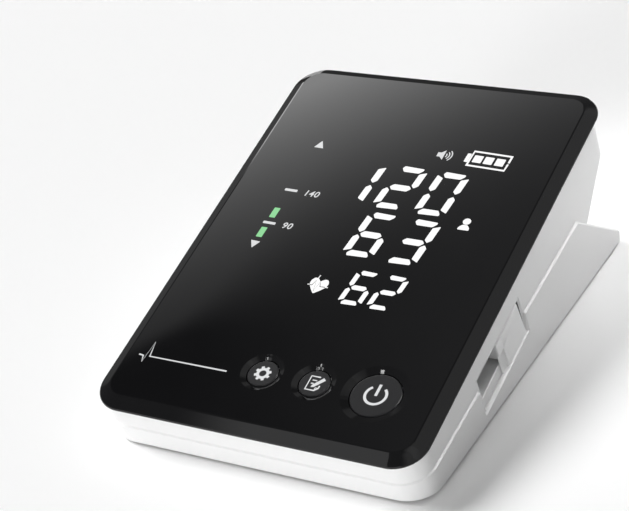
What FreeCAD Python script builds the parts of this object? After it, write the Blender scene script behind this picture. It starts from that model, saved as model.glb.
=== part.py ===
import FreeCAD, Part
import math
import os
import re
import Sketcher

# A desk-top home blood pressure monitor, in millimetres.
# X runs to the user's right, Y to the back, Z up; the origin is on the table under the middle of the object.
# Many pieces follow the tilted face: its own frame has Y up the slope and Z square to the face.
# There, depth below the panel's underside is minus Z, and "run" is the distance up the slope from the panel's
# front edge.

SIZES = {
    # Overall
    "face_width": 110.0,
    "face_length": 153.8,
    "tilt": 15.0,
    "overall_depth": 153.7,
    "face_height": 15.6,
    "foot_stand": 0.7,
    "corner_radius": 10.0,
    # Face panel and the tape that bonds it
    "panel_side": 0.8,
    "bevel_height": 2.0,
    "bevel_width": 4.0,
    "tape_thickness": 0.3,
    "tape_width": 6.0,
    "tape_inset": 1.6,
    # Casing
    "shell_inset": 0.9,
    "wall": 2.0,
    "deck": 1.8,
    "shell_back": 150.5,
    "knee_depth": 15.0,
    "step_depth": 7.4,
    "step_angle": 5.6,
    "ridge_run": 117.7,
    "rear_slope": 33.7,
    "undercut": 33.8,
    "ledge": 0.9,
    "base_draft": 1.2,
    "floor_thickness": 2.0,
    "toe_corner": 2.0,
    "toe_least": 4.4,
    "toe_solid": 8.0,
    # Buttons and their switches
    "button_run": 22.3,
    "settings_inset": 59.7,
    "memory_inset": 42.3,
    "power_inset": 22.3,
    "small_button_radius": 4.9,
    "power_button_radius": 7.8,
    "small_dish_width": 1.65,
    "power_dish_width": 2.35,
    "dish_depth": 0.9,
    "button_clearance": 0.25,
    "button_sink": 0.75,
    "button_travel": 0.6,
    "button_edge": 0.4,
    "flange_overhang": 1.0,
    "flange_thickness": 1.0,
    "flange_gap": 0.2,
    "stem_radius": 2.2,
    "switch_width": 6.0,
    "switch_height": 3.5,
    "plunger_radius": 1.7,
    "plunger_rise": 0.8,
    "plunger_sunk": 1.0,
    "plunger_clearance": 0.15,
    # Display and main board
    "window_half": 40.0,
    "window_front": 54.0,
    "window_to_back": 20.5,
    "module_clearance": 0.5,
    "module_gap": 0.15,
    "board_top": 8.4,
    "board_thickness": 1.6,
    "board_margin": 10.6,
    "board_front": 14.5,
    "board_to_back": 11.5,
    "board_boss_radius": 2.6,
    "board_boss_x": 35.0,
    "board_boss_front": 41.0,
    "board_boss_to_back": 15.5,
    "board_screw_radius": 0.9,
    "board_screw_length": 6.0,
    "board_screw_head_radius": 1.9,
    "board_screw_head": 1.3,
    "chip_width": 12.0,
    "chip_height": 1.6,
    # Case screws
    "case_screw_to_wall": 8.1,
    "case_screw_rear_to_wall": 6.1,
    "case_screw_front": 10.5,
    "case_screw_back": 100.0,
    "case_screw_radius": 1.2,
    "case_screw_bite": 5.2,
    "case_screw_head_radius": 2.5,
    "case_screw_head": 1.8,
    "case_screw_web": 3.0,
    "screw_clearance": 0.3,
    "boss_radius": 3.4,
    "post_radius": 4.4,
    "post_seat": 1.2,
    # Port bay, its cover and the charging socket
    "port_front": 40.8,
    "port_back": 74.0,
    "port_top": 7.5,
    "port_bottom": 21.8,
    "port_clearance": 0.15,
    "tray_thickness": 5.1,
    "tray_rim": 0.6,
    "tray_flange": 1.2,
    "track_depth": 0.7,
    "socket_mouth_front": 42.2,
    "socket_mouth_back": 56.2,
    "socket_mouth_top": 8.3,
    "socket_mouth_bottom": 17.1,
    "track_slot_depth": 16.5,
    "track_slot_width": 1.2,
    "track_slot_end": 1.0,
    "cover_length": 13.5,
    "cover_rear_room": 1.2,
    "cover_clearance": 0.25,
    "cover_proud_high": 0.1,
    "cover_proud_low": 0.85,
    "cover_travel": 13.4,
    "cover_step_length": 3.5,
    "cover_grip_height": 4.8,
    "cover_grip_proud": 0.45,
    "runner_length": 7.0,
    "runner_from_front": 4.4,
    "runner_head_width": 4.0,
    "runner_clearance": 0.25,
    "runner_head": 1.0,
    "socket_width": 9.0,
    "socket_height": 3.3,
    "socket_length": 6.8,
    "socket_reach": 0.5,
    "socket_wall": 0.3,
    "socket_edge": 0.7,
    "socket_back": 1.0,
    "tongue_thickness": 0.7,
    "tongue_margin": 1.2,
    # Air path
    "air_height": 8.5,
    "hose_one_run": 38.0,
    "hose_two_run": 52.0,
    "hose_bore": 2.6,
    "hose_depth": 8.0,
    "collar_radius": 4.3,
    "collar_clearance": 0.15,
    "collar_set_back": 0.3,
    "socket_block_length": 10.4,
    "socket_block_wall": 6.0,
    "barb_radius": 1.5,
    "barb_length": 4.0,
    "short_barb": 2.0,
    "barb_bore": 0.8,
    "tube_radius": 2.0,
    "tube_clearance": 0.05,
    "joint_size": 6.4,
    "joint_x": -4.5,
    "sensor_width": 9.0,
    "sensor_drop": 1.8,
    "sensor_one_x": -15.0,
    "tee_run": 58.0,
    "pump_x": 29.0,
    "pump_radius": 10.0,
    "pump_length": 25.0,
    "pump_cap_radius": 8.0,
    "pump_cap": 1.5,
    "pump_head_width": 21.0,
    "pump_head_height": 20.0,
    "pump_head_length": 17.0,
    "pump_run": 74.0,
    "pump_lift": 0.3,
    "cradle_width": 18.0,
    "cradle_length": 17.0,
    "cradle_height": 6.0,
    "valve_to_tray": 2.5,
    "valve_radius": 5.0,
    "valve_height": 11.5,
    # Speaker
    "speaker_x": 30.0,
    "speaker_run": 24.0,
    "speaker_radius": 10.0,
    "speaker_thickness": 4.2,
    "speaker_clearance": 0.25,
    "speaker_rim": 1.5,
    "speaker_rim_height": 3.0,
    "magnet_radius": 6.0,
    "magnet_height": 2.0,
    "grille_slots": 5.0,
    "grille_pitch": 3.2,
    "grille_slot_width": 1.4,
    "grille_slot_length": 13.0,
    # Battery bay and its door
    "bay_x": -11.0,
    "bay_run": 91.3,
    "bay_wall": 1.6,
    "bay_roof": 1.4,
    "cell_count": 4.0,
    "cell_radius": 7.1,
    "cell_pitch": 14.6,
    "cell_length": 49.3,
    "cell_nub": 1.0,
    "cell_nub_radius": 2.75,
    "cell_room": 0.3,
    "cell_lift": 0.2,
    "spring_length": 3.6,
    "spring_radius": 3.6,
    "spring_tip_radius": 2.2,
    "plate_thickness": 0.5,
    "plate_width": 10.0,
    "door_thickness": 1.8,
    "door_gap": 0.3,
    "door_ledge": 1.2,
    "door_tab_width": 8.0,
    "door_tab_spread": 17.0,
    "door_tab_reach": 2.4,
    "door_tab_thickness": 1.0,
    "door_tab_slot": 5.0,
    "door_catch_width": 12.0,
    "door_catch_height": 2.0,
    "door_catch_thickness": 1.0,
    # Feet
    "foot_radius": 5.0,
    "foot_height": 2.0,
    "foot_clearance": 0.15,
    "foot_to_side": 10.4,
    "foot_front": 27.0,
    "foot_to_toe": 14.5,
}

# Sizes that follow from the ones above.
RULES = {
    "panel_thickness": "panel_side + bevel_height",
    "face_front": "panel_side * sin(tilt) - overall_depth / 2",
    "deck_bottom": "tape_thickness + deck",
    "settings_x": "face_width / 2 - settings_inset",
    "memory_x": "face_width / 2 - memory_inset",
    "power_x": "face_width / 2 - power_inset",
    "window_back": "shell_back - window_to_back",
    "board_back": "shell_back - board_to_back",
    "board_boss_back": "shell_back - board_boss_to_back",
    "board_half": "inner_half - board_margin",
    "board_tongue_x": "tray_inner_x + socket_reach",
    "case_screw_x": "inner_half - case_screw_to_wall",
    "case_screw_rear_x": "inner_half - case_screw_rear_to_wall",
    "foot_x": "base_bottom_half - foot_to_side",
    "slope_end": "ridge_y + (ridge_z - toe_least) / tan(rear_slope)",
    "foot_back": "min(toe_y; slope_end) - foot_to_toe - face_front",
    "board_bottom": "board_top + board_thickness",
    "shell_half": "face_width / 2 - shell_inset",
    "shell_radius": "corner_radius - shell_inset",
    "inner_half": "shell_half - wall",
    "ridge_depth": "step_depth + ridge_run * tan(step_angle)",
    "slope_to_face": "rear_slope + tilt",
    "undercut_run": "(shell_back - ridge_run) * sin(undercut)",
    "undercut_drop": "(knee_depth - ridge_depth) * cos(undercut)",
    "notch_lap": "(undercut_run + undercut_drop) / sin(slope_to_face + undercut)",
    "notch_run": "ridge_run + notch_lap * cos(slope_to_face)",
    "notch_depth": "ridge_depth + notch_lap * sin(slope_to_face)",
    "undercut_wall_run": "wall / sin(undercut)",
    "ridge_y": "face_front + ridge_run * cos(tilt) + ridge_depth * sin(tilt)",
    "ridge_z": "face_height + ridge_run * sin(tilt) - ridge_depth * cos(tilt)",
    "toe_y": "overall_depth / 2",
    "floor_top": "foot_stand + floor_thickness",
    "base_half": "shell_half + ledge",
    "base_top": "ridge_z + wall",
    "base_bottom_half": "base_half - (base_top - foot_stand) * tan(base_draft)",
    "base_lip_run": "shell_inset - ledge / 2",
    "base_lip_y": "face_front + base_lip_run * cos(tilt) + step_depth * sin(tilt)",
    "base_lip_z": "face_height + base_lip_run * sin(tilt) - step_depth * cos(tilt)",
    "base_lean": "tan(tilt + base_draft)",
    "base_front_bottom": "base_lip_y + (base_lip_z - foot_stand) * base_lean",
    "base_front_top": "base_lip_y - (base_top - base_lip_z) * base_lean",
    "slope_drop": "wall / cos(rear_slope)",
    "bay_y": "face_front + bay_run",
    "bay_length": "cell_length + cell_nub + spring_length + 2 * plate_thickness",
    "bay_width": "cell_count * cell_pitch + 2 * cell_room",
    "bay_top": "floor_top + cell_lift + 2 * cell_radius + cell_room",
    "door_hinge_y": "bay_y - bay_width / 2 - door_ledge",
    "hose_one_y": "face_front + hose_one_run",
    "hose_two_y": "face_front + hose_two_run",
    "tee_y": "face_front + tee_run",
    "pump_y": "face_front + pump_run",
    "pump_z": "floor_top + pump_lift + pump_head_height / 2",
    "tube_bore": "barb_radius + tube_clearance",
    "joint_run": "hose_one_run * cos(tilt) - (face_height - air_height) * sin(tilt)",
    "joint_depth": "hose_one_run * sin(tilt) + (face_height - air_height) * cos(tilt)",
    "sensor_run": "(hose_two_run - joint_depth * sin(tilt)) / cos(tilt)",
    "sensor_z": "face_height + sensor_run * sin(tilt) - joint_depth * cos(tilt)",
    "socket_face_x": "base_bottom_half - collar_set_back",
    "socket_inner_x": "socket_face_x - socket_block_length",
    "tray_inner_x": "shell_half - tray_thickness",
    "track_floor_x": "shell_half - track_depth",
    "cover_back": "port_back - tray_rim - cover_rear_room",
    "cover_front": "cover_back - cover_length",
    "valve_x": "tray_inner_x - valve_to_tray - valve_radius",
    "speaker_y": "face_front + speaker_run",
}

SMALL_BUTTON = ("small_button_radius", "small_dish_width")
BUTTONS = {
    "settings": ("settings_x", *SMALL_BUTTON),
    "memory": ("memory_x", *SMALL_BUTTON),
    "power": ("power_x", "power_button_radius", "power_dish_width"),
}
CASE_SCREWS = [
    ("-case_screw_x", "case_screw_front"),
    ("case_screw_x", "case_screw_front"),
    ("-case_screw_rear_x", "case_screw_back"),
    ("case_screw_rear_x", "case_screw_back"),
]
BOARD_SCREWS = [
    ("-board_boss_x", "board_boss_front"),
    ("board_boss_x", "board_boss_front"),
    ("-board_boss_x", "board_boss_back"),
    ("board_boss_x", "board_boss_back"),
]
FEET = [
    ("-foot_x", "foot_front"),
    ("foot_x", "foot_front"),
    ("-foot_x", "foot_back"),
    ("foot_x", "foot_back"),
]
AXES = {
    "x": (FreeCAD.Vector(0, 1, 0), "90"),
    "-x": (FreeCAD.Vector(0, 1, 0), "-90"),
    "y": (FreeCAD.Vector(1, 0, 0), "-90"),
    "-y": (FreeCAD.Vector(1, 0, 0), "90"),
    "z": (FreeCAD.Vector(1, 0, 0), "0"),
    "face": (FreeCAD.Vector(1, 0, 0), "tilt"),
}

doc = FreeCAD.newDocument("blood_pressure_monitor")
sheet = doc.addObject("Spreadsheet::Sheet", "sizes")
for row, (alias, number) in enumerate(SIZES.items(), start=1):
    sheet.set(f"A{row}", alias)
    sheet.set(f"B{row}", str(number))
    sheet.setAlias(f"B{row}", alias)
doc.recompute()
subparts = []


def formula(text):
    """Turns a rule in plain size names into an expression on the sheet's cells."""

    def swap(match):
        word = match.group(0)
        if word in RULES:
            return "(" + formula(RULES[word]) + ")"
        return "sizes." + word if word in SIZES else word

    return re.sub(r"[a-z][a-z0-9_]*", swap, str(text))


def value(text):
    """The number that a rule gives now."""
    result = sheet.evalExpression(formula(text))
    return float(getattr(result, "Value", result))


def bind(thing, prop, text):
    """Ties a property to the sheet."""
    thing.setExpression(prop, formula(text))


def place(thing, x="0", y="0", z="0", axis="z"):
    """Puts a thing at x, y, z with its own Z axis turned to the named axis."""
    vector, angle = AXES[axis]
    thing.Placement = FreeCAD.Placement(FreeCAD.Vector(), FreeCAD.Rotation(vector, 1))
    bind(thing, ".Placement.Rotation.Angle", angle)
    bind(thing, ".Placement.Base.x", x)
    bind(thing, ".Placement.Base.y", y)
    bind(thing, ".Placement.Base.z", z)
    return thing


def on_face(thing):
    """Sets a thing that was made in the face's frame onto the tilted face."""
    return place(thing, "0", "face_front", "face_height", "face")


def subpart(thing, label):
    """Names a finished sub-part and lists it for export."""
    thing.Label = label
    subparts.append(thing)
    return thing


def new_body(label):
    return subpart(doc.addObject("PartDesign::Body", label + "_body"), label)


def sketch_on(body, name, role="XY_Plane", height="0"):
    """A sketch on one of the body's own planes, raised by a height."""
    plane = next(item for item in body.Origin.OriginFeatures if item.Role == role)
    sketch = body.newObject("Sketcher::SketchObject", name)
    sketch.AttachmentSupport = [(plane, "")]
    sketch.MapMode = "FlatFace"
    bind(sketch, ".AttachmentOffset.Base.z", height)
    return sketch


def pin_point(sketch, edge, end, x, y):
    """Holds one end of a sketch edge at x, y."""
    for kind, text in (("DistanceX", x), ("DistanceY", y)):
        index = sketch.addConstraint(Sketcher.Constraint(kind, -1, 1, edge, end, value(text)))
        bind(sketch, f"Constraints[{index}]", text)


def draw_polygon(sketch, points):
    """A closed outline through corners given as rules."""
    corners = [FreeCAD.Vector(value(x), value(y), 0) for x, y in points]
    count = len(points)
    edges = [
        sketch.addGeometry(Part.LineSegment(corners[i], corners[(i + 1) % count]), False) for i in range(count)
    ]
    for i, edge in enumerate(edges):
        sketch.addConstraint(Sketcher.Constraint("Coincident", edge, 2, edges[(i + 1) % count], 1))
        pin_point(sketch, edge, 1, *points[i])
    return sketch


def draw_rounded(sketch, half, front, back, front_radius, back_radius=None):
    """A rectangle centred on x with round corners, from front to back."""
    rear = back_radius or front_radius
    corners = [
        (f"-({half})", front, 1, 1, front_radius),
        (half, front, -1, 1, front_radius),
        (half, back, -1, -1, rear),
        (f"-({half})", back, 1, -1, rear),
    ]
    ends = []
    for number, (x, y, to_x, to_y, radius) in enumerate(corners):
        on_side = (x, f"{y} + {to_y} * ({radius})")
        on_end = (f"{x} + {to_x} * ({radius})", y)
        ends.append((on_side, on_end) if number % 2 == 0 else (on_end, on_side))
    for number, (x, y, to_x, to_y, radius) in enumerate(corners):
        start, finish = ends[number]
        following = ends[(number + 1) % 4][0]
        points = [FreeCAD.Vector(value(px), value(py), 0) for px, py in (start, finish, following)]
        reach = value(radius)
        centre = FreeCAD.Vector(value(x) + to_x * reach, value(y) + to_y * reach, 0)
        outward = FreeCAD.Vector(-to_x, -to_y, 0).normalize() * reach
        arc = sketch.addGeometry(Part.Arc(points[0], centre + outward, points[1]), False)
        line = sketch.addGeometry(Part.LineSegment(points[1], points[2]), False)
        pin_point(sketch, line, 1, *finish)
        pin_point(sketch, line, 2, *following)
    for number in range(4):
        arc, line, last_line = 2 * number, 2 * number + 1, (2 * number - 1) % 8
        sketch.addConstraint(Sketcher.Constraint("Coincident", arc, 2, line, 1))
        sketch.addConstraint(Sketcher.Constraint("Coincident", arc, 1, last_line, 2))
        index = sketch.addConstraint(Sketcher.Constraint("Radius", arc, value(corners[number][4])))
        bind(sketch, f"Constraints[{index}]", corners[number][4])
    return sketch


def pad(body, sketch, length, downward=False):
    feature = body.newObject("PartDesign::Pad", sketch.Name + "_pad")
    feature.Profile = (sketch, [""])
    feature.Reversed = downward
    bind(feature, "Length", length)
    doc.recompute()
    return feature


def pocket(body, sketch, length, across=False):
    """Cuts down from a sketch or, with across, both ways from the middle of the object."""
    feature = body.newObject("PartDesign::Pocket", sketch.Name + "_cut")
    feature.Profile = (sketch, [""])
    feature.SideType = "Symmetric" if across else "One side"
    bind(feature, "Length", length)
    before = body.Shape.Volume
    doc.recompute()
    if body.Shape.Volume >= before:
        raise RuntimeError(f"{feature.Name} cuts nothing")
    return feature


def loft(body, first, second, cut=False):
    kind = "SubtractiveLoft" if cut else "AdditiveLoft"
    feature = body.newObject("PartDesign::" + kind, first.Name + "_loft")
    feature.Profile = (first, [""])
    feature.Sections = [(second, [""])]
    feature.Ruled = True
    doc.recompute()
    return feature


def block(name, low, high, body=None, cut=False):
    """A box between two corners: loose, or added to or cut from a body."""
    kind = "PartDesign::" + ("Subtractive" if cut else "Additive") + "Box"
    thing = body.newObject(kind, name) if body else doc.addObject("Part::Box", name)
    for prop, start, end in zip(("Length", "Width", "Height"), low, high):
        bind(thing, prop, f"({end}) - ({start})")
    return place(thing, *low)


def rod(name, base, radius, length, axis="z", body=None, cut=False, end_radius=None):
    """A cylinder, or a cone where an end radius is given, from a base point along an axis."""
    shape = "Cone" if end_radius else "Cylinder"
    kind = "PartDesign::" + ("Subtractive" if cut else "Additive") + shape
    thing = body.newObject(kind, name) if body else doc.addObject("Part::" + shape, name)
    if end_radius:
        bind(thing, "Radius1", radius)
        bind(thing, "Radius2", end_radius)
    else:
        bind(thing, "Radius", radius)
    bind(thing, "Height", length)
    return place(thing, *base, axis)


def fuse(name, things):
    thing = doc.addObject("Part::MultiFuse", name)
    thing.Shapes = things
    return thing


def cut(name, base, tool):
    thing = doc.addObject("Part::Cut", name)
    thing.Base = base
    thing.Tool = tool
    return thing


def group(name, things):
    """Separate solids that share one node."""
    thing = doc.addObject("Part::Compound", name)
    thing.Links = things
    return thing


def round_edges(body, radius, chosen):
    """Rounds the edges of the body's last feature that a test picks."""
    doc.recompute()
    base = body.Tip
    names = [f"Edge{i}" for i, edge in enumerate(base.Shape.Edges, start=1) if chosen(edge)]
    feature = body.newObject("PartDesign::Fillet", body.Label + "_round")
    feature.Base = (base, names)
    bind(feature, "Radius", radius)
    doc.recompute()
    return feature


def parting_depth(run):
    """Depth of the joint between the two shells at a distance up the slope."""
    return f"(step_depth + ({run}) * tan(step_angle))"


def from_front(run):
    """Level distance behind the panel's front edge."""
    return f"(face_front + {run})"


def make_face_panel():
    body = new_body("face_panel")
    outline = ("face_width / 2", "0", "face_length", "corner_radius")
    pad(body, draw_rounded(sketch_on(body, "panel_outline"), *outline), "panel_side")
    lower = draw_rounded(sketch_on(body, "bevel_foot", height="panel_side"), *outline)
    upper = draw_rounded(
        sketch_on(body, "bevel_crest", height="panel_thickness"),
        "face_width / 2 - bevel_width",
        "bevel_width",
        "face_length - bevel_width",
        "corner_radius - bevel_width",
    )
    loft(body, lower, upper)
    for name, (x, radius, dish) in BUTTONS.items():
        hole = f"{radius} + button_clearance"
        rim = f"{hole} + {dish}"
        through = "panel_thickness + 2 * wall"
        rod(f"{name}_hole", (x, "button_run", "-wall"), hole, through, body=body, cut=True)
        base = (x, "button_run", "panel_thickness - dish_depth")
        rod(f"{name}_dish", base, hole, "dish_depth", body=body, cut=True, end_radius=rim)
    on_face(body)


def make_panel_tape():
    body = new_body("panel_tape")
    outer = draw_rounded(
        sketch_on(body, "tape_outline"),
        "face_width / 2 - tape_inset",
        "tape_inset",
        "shell_back - tape_inset",
        "corner_radius - tape_inset",
    )
    pad(body, outer, "tape_thickness", downward=True)
    inner = draw_rounded(
        sketch_on(body, "tape_opening"),
        "face_width / 2 - tape_inset - tape_width",
        "tape_inset + tape_width",
        "shell_back - tape_inset - tape_width",
        "corner_radius - tape_inset - tape_width",
    )
    pocket(body, inner, "tape_thickness")
    on_face(body)


def cut_port_opening(body, tilted):
    """The opening in the right wall that the port bay fits."""
    thing = body.newObject("PartDesign::SubtractiveBox", body.Label + "_port_opening")
    bind(thing, "Length", "tray_thickness + 2 * wall")
    bind(thing, "Width", "port_back - port_front + 2 * port_clearance")
    bind(thing, "Height", "port_bottom - port_top + 2 * port_clearance")
    run = "(port_front - port_clearance)"
    depth = "(port_bottom + port_clearance)"
    if tilted:
        y = f"face_front + {run} * cos(tilt) + {depth} * sin(tilt)"
        z = f"face_height + {run} * sin(tilt) - {depth} * cos(tilt)"
        place(thing, "tray_inner_x - wall", y, z, "face")
    else:
        place(thing, "tray_inner_x - wall", run, f"-{depth}")


def make_upper_shell():
    body = new_body("upper_shell")
    top = draw_rounded(
        sketch_on(body, "shell_top", height="-tape_thickness"),
        "shell_half", "shell_inset", "shell_back", "shell_radius",
    )
    pad(body, top, "knee_depth - tape_thickness", downward=True)
    knee = draw_rounded(
        sketch_on(body, "shell_knee", height="-knee_depth"),
        "shell_half", "shell_inset", "shell_back", "shell_radius",
    )
    notch = draw_rounded(
        sketch_on(body, "shell_notch", height="-notch_depth"),
        "shell_half", "shell_inset", "notch_run", "shell_radius",
    )
    loft(body, knee, notch)
    reach = "face_length"
    under = draw_polygon(
        sketch_on(body, "shell_underside", "YZ_Plane"),
        [
            (f"-{reach}", f"-step_depth + {reach} * tan(step_angle)"),
            ("ridge_run", "-ridge_depth"),
            (f"ridge_run + {reach} * cos(slope_to_face)", f"-ridge_depth - {reach} * sin(slope_to_face)"),
            (f"-{reach}", f"-ridge_depth - {reach} * sin(slope_to_face)"),
        ],
    )
    pocket(body, under, "2 * face_width", across=True)
    inner = ("shell_inset + wall", "shell_back - undercut_wall_run", "shell_radius - wall")
    room = draw_rounded(sketch_on(body, "shell_room", height="-deck_bottom"), "inner_half", *inner)
    pocket(body, room, "knee_depth - deck_bottom")
    room_knee = draw_rounded(sketch_on(body, "room_knee", height="-knee_depth"), "inner_half", *inner)
    room_notch = draw_rounded(
        sketch_on(body, "room_notch", height="-notch_depth"),
        "inner_half", "shell_inset + wall", "notch_run - undercut_wall_run", "shell_radius - wall",
    )
    loft(body, room_knee, room_notch, cut=True)
    block(
        "display_window",
        ("-window_half", "window_front", "-deck_bottom - wall"),
        ("window_half", "window_back", "wall"),
        body, cut=True,
    )
    for name, (x, radius, dish) in BUTTONS.items():
        base = (x, "button_run", "-deck_bottom - wall")
        hole = f"{radius} + button_clearance"
        rod(f"{name}_deck_hole", base, hole, "deck_bottom + 2 * wall", body=body, cut=True)
    for number, (x, run) in enumerate(CASE_SCREWS):
        low = f"-{parting_depth(run)}"
        rod(f"case_boss_{number}", (x, run, low), "boss_radius", f"-deck_bottom - ({low})", body=body)
        hole = "case_screw_bite + case_screw_radius"
        rod(f"case_boss_hole_{number}", (x, run, low), "case_screw_radius", hole, body=body, cut=True)
    for number, (x, run) in enumerate(BOARD_SCREWS):
        base = (x, run, "-board_top")
        height = "board_top - deck_bottom"
        rod(f"board_boss_{number}", base, "board_boss_radius", height, body=body)
        rod(f"board_boss_hole_{number}", base, "board_screw_radius", height, body=body, cut=True)
    cut_port_opening(body, tilted=False)
    on_face(body)


def make_base_shell():
    body = new_body("base_shell")
    bottom = draw_rounded(
        sketch_on(body, "base_bottom", height="foot_stand"),
        "base_bottom_half", "base_front_bottom", "toe_y", "corner_radius", "toe_corner",
    )
    top = draw_rounded(
        sketch_on(body, "base_crown", height="base_top"),
        "base_half", "base_front_top", "toe_y", "corner_radius", "toe_corner",
    )
    loft(body, bottom, top)
    reach = "overall_depth"
    lid = draw_polygon(
        sketch_on(body, "base_upper_side", "YZ_Plane"),
        [
            (f"ridge_y - {reach} * cos(tilt - step_angle)", f"ridge_z - {reach} * sin(tilt - step_angle)"),
            ("ridge_y", "ridge_z"),
            (f"ridge_y + {reach} * cos(rear_slope)", f"ridge_z - {reach} * sin(rear_slope)"),
            (f"ridge_y + {reach} * cos(rear_slope)", f"ridge_z + {reach}"),
            (f"ridge_y - {reach} * cos(tilt - step_angle)", f"ridge_z + {reach}"),
        ],
    )
    pocket(body, lid, "2 * face_width", across=True)
    room = draw_rounded(
        sketch_on(body, "base_room", height="base_top"),
        "inner_half", "base_front_bottom + wall", "ridge_y - wall", "corner_radius - wall", "wall",
    )
    pocket(body, room, "base_top - floor_top")
    under_ridge = "ridge_y - 2 * wall"
    toe_room = draw_polygon(
        sketch_on(body, "toe_room", "YZ_Plane"),
        [
            (under_ridge, "floor_top"),
            ("toe_y - toe_solid", "floor_top"),
            ("toe_y - toe_solid", "ridge_z - slope_drop - (toe_y - toe_solid - ridge_y) * tan(rear_slope)"),
            ("ridge_y - wall", "ridge_z - slope_drop + wall * tan(rear_slope)"),
            (under_ridge, "ridge_z - slope_drop + wall * tan(rear_slope)"),
        ],
    )
    pocket(body, toe_room, "2 * inner_half", across=True)
    outer_x = "bay_length / 2 + bay_wall"
    outer_y = "bay_width / 2 + bay_wall"
    block(
        "bay_walls",
        (f"bay_x - ({outer_x})", f"bay_y - ({outer_y})", "foot_stand + floor_thickness / 2"),
        (f"bay_x + {outer_x}", f"bay_y + {outer_y}", "bay_top + bay_roof"),
        body,
    )
    block(
        "bay_room",
        ("bay_x - bay_length / 2", "bay_y - bay_width / 2", "-wall"),
        ("bay_x + bay_length / 2", "bay_y + bay_width / 2", "bay_top"),
        body, cut=True,
    )
    block(
        "door_opening",
        ("bay_x - bay_length / 2 - door_ledge", "door_hinge_y", "-wall"),
        ("bay_x + bay_length / 2 + door_ledge", "bay_y + bay_width / 2 + door_ledge", "floor_top"),
        body, cut=True,
    )
    for side in ("-", "+"):
        middle = f"bay_x {side} door_tab_spread"
        half = "(door_tab_width / 2 + door_gap)"
        block(
            "door_tab_slot",
            (f"{middle} - {half}", "door_hinge_y - door_tab_reach - door_gap", "floor_top"),
            (f"{middle} + {half}", "bay_y", "floor_top + door_tab_slot"),
            body, cut=True,
        )
    for number, (x, run) in enumerate(CASE_SCREWS):
        low = f"((face_height - foot_stand - post_seat + {run} * sin(tilt)) / cos(tilt))"
        high = parting_depth(run)
        seat = f"({high} + case_screw_web)"
        post = (x, f"face_front + {run} * cos(tilt) + {low} * sin(tilt)",
                f"face_height + {run} * sin(tilt) - {low} * cos(tilt)")
        rod(f"case_post_{number}", post, "post_radius", f"{low} - {high}", "face", body)
        far = f"({low} + post_radius)"
        mouth = (x, f"face_front + {run} * cos(tilt) + {far} * sin(tilt)",
                 f"face_height + {run} * sin(tilt) - {far} * cos(tilt)")
        head = "case_screw_head_radius + screw_clearance"
        rod(f"case_post_mouth_{number}", mouth, head, f"{far} - {seat}", "face", body, cut=True)
        shank = "case_screw_radius + screw_clearance"
        rod(f"case_post_hole_{number}", mouth, shank, f"{far} - {high} + wall", "face", body, cut=True)
    for number, (x, run) in enumerate(FEET):
        base = (x, from_front(run), "-foot_stand")
        depth = "foot_height + foot_stand"
        rod(f"foot_pocket_{number}", base, "foot_radius + foot_clearance", depth, body=body, cut=True)
    for number, y in enumerate(("hose_one_y", "hose_two_y")):
        base = ("-base_half - wall", y, "air_height")
        hole = "collar_radius + collar_clearance"
        rod(f"hose_hole_{number}", base, hole, "4 * wall + ledge", "x", body, cut=True)
    cut_port_opening(body, tilted=True)
    add_speaker_seat(body)


def add_speaker_seat(body):
    """The rim that holds the speaker on the floor, and the sound slots under it."""
    low = "(foot_height + floor_top) / 2"
    rim = "speaker_radius + speaker_clearance"
    rim_height = f"floor_top + speaker_rim_height - {low}"
    rod("speaker_rim_wall", ("speaker_x", "speaker_y", low), f"{rim} + speaker_rim", rim_height, body=body)
    seat = ("speaker_x", "speaker_y", "floor_top")
    rod("speaker_seat", seat, rim, "speaker_thickness", body=body, cut=True)
    for number in range(round(value("grille_slots"))):
        y = f"(speaker_y + ({number} - (grille_slots - 1) / 2) * grille_pitch)"
        block(
            f"grille_slot_{number}",
            ("speaker_x - grille_slot_length / 2", f"{y} - grille_slot_width / 2", "-foot_stand"),
            ("speaker_x + grille_slot_length / 2", f"{y} + grille_slot_width / 2", "floor_top"),
            body, cut=True,
        )


def make_buttons():
    for name, (x, radius, dish) in BUTTONS.items():
        body = new_body(f"{name}_button")
        foot = "(board_top - switch_height - plunger_rise)"
        flange_low = "(deck_bottom + flange_gap + flange_thickness)"
        crown = "panel_thickness - button_sink"
        seat = (x, "button_run", f"-{flange_low}")
        rod(f"{name}_cap", seat, radius, f"{crown} + {flange_low}", body=body)
        doc.recompute()
        shoulder = value(f"{crown} - button_edge")
        round_edges(body, "button_edge", lambda edge: edge.BoundBox.ZMin > shoulder)
        flange = f"{radius} + button_clearance + flange_overhang"
        rod(f"{name}_flange", seat, flange, "flange_thickness", body=body)
        stem = f"{foot} - {flange_low} + wall / 2"
        rod(f"{name}_stem", (x, "button_run", f"-{foot}"), "stem_radius", stem, body=body)
        on_face(body)
        base = (x, "button_run", f"-{foot} - plunger_rise - plunger_sunk")
        plunger = rod(f"{name}_plunger_pin", base, "plunger_radius", "plunger_rise + plunger_sunk")
        on_face(subpart(group(f"{name}_plunger_node", [plunger]), f"{name}_plunger"))


def make_switches():
    switches = []
    for name, (x, radius, dish) in BUTTONS.items():
        half = "switch_width / 2"
        case = block(
            f"{name}_switch_case",
            (f"{x} - {half}", f"button_run - {half}", "-board_top"),
            (f"{x} + {half}", f"button_run + {half}", "-board_top + switch_height"),
        )
        depth = "plunger_sunk + 2 * button_travel"
        hole = rod(
            f"{name}_switch_hole",
            (x, "button_run", f"-board_top + switch_height - ({depth})"),
            "plunger_radius + plunger_clearance", f"{depth} + button_travel",
        )
        switches.append(cut(f"{name}_switch", case, hole))
    on_face(subpart(group("tact_switch_set", switches), "tact_switches"))


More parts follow.
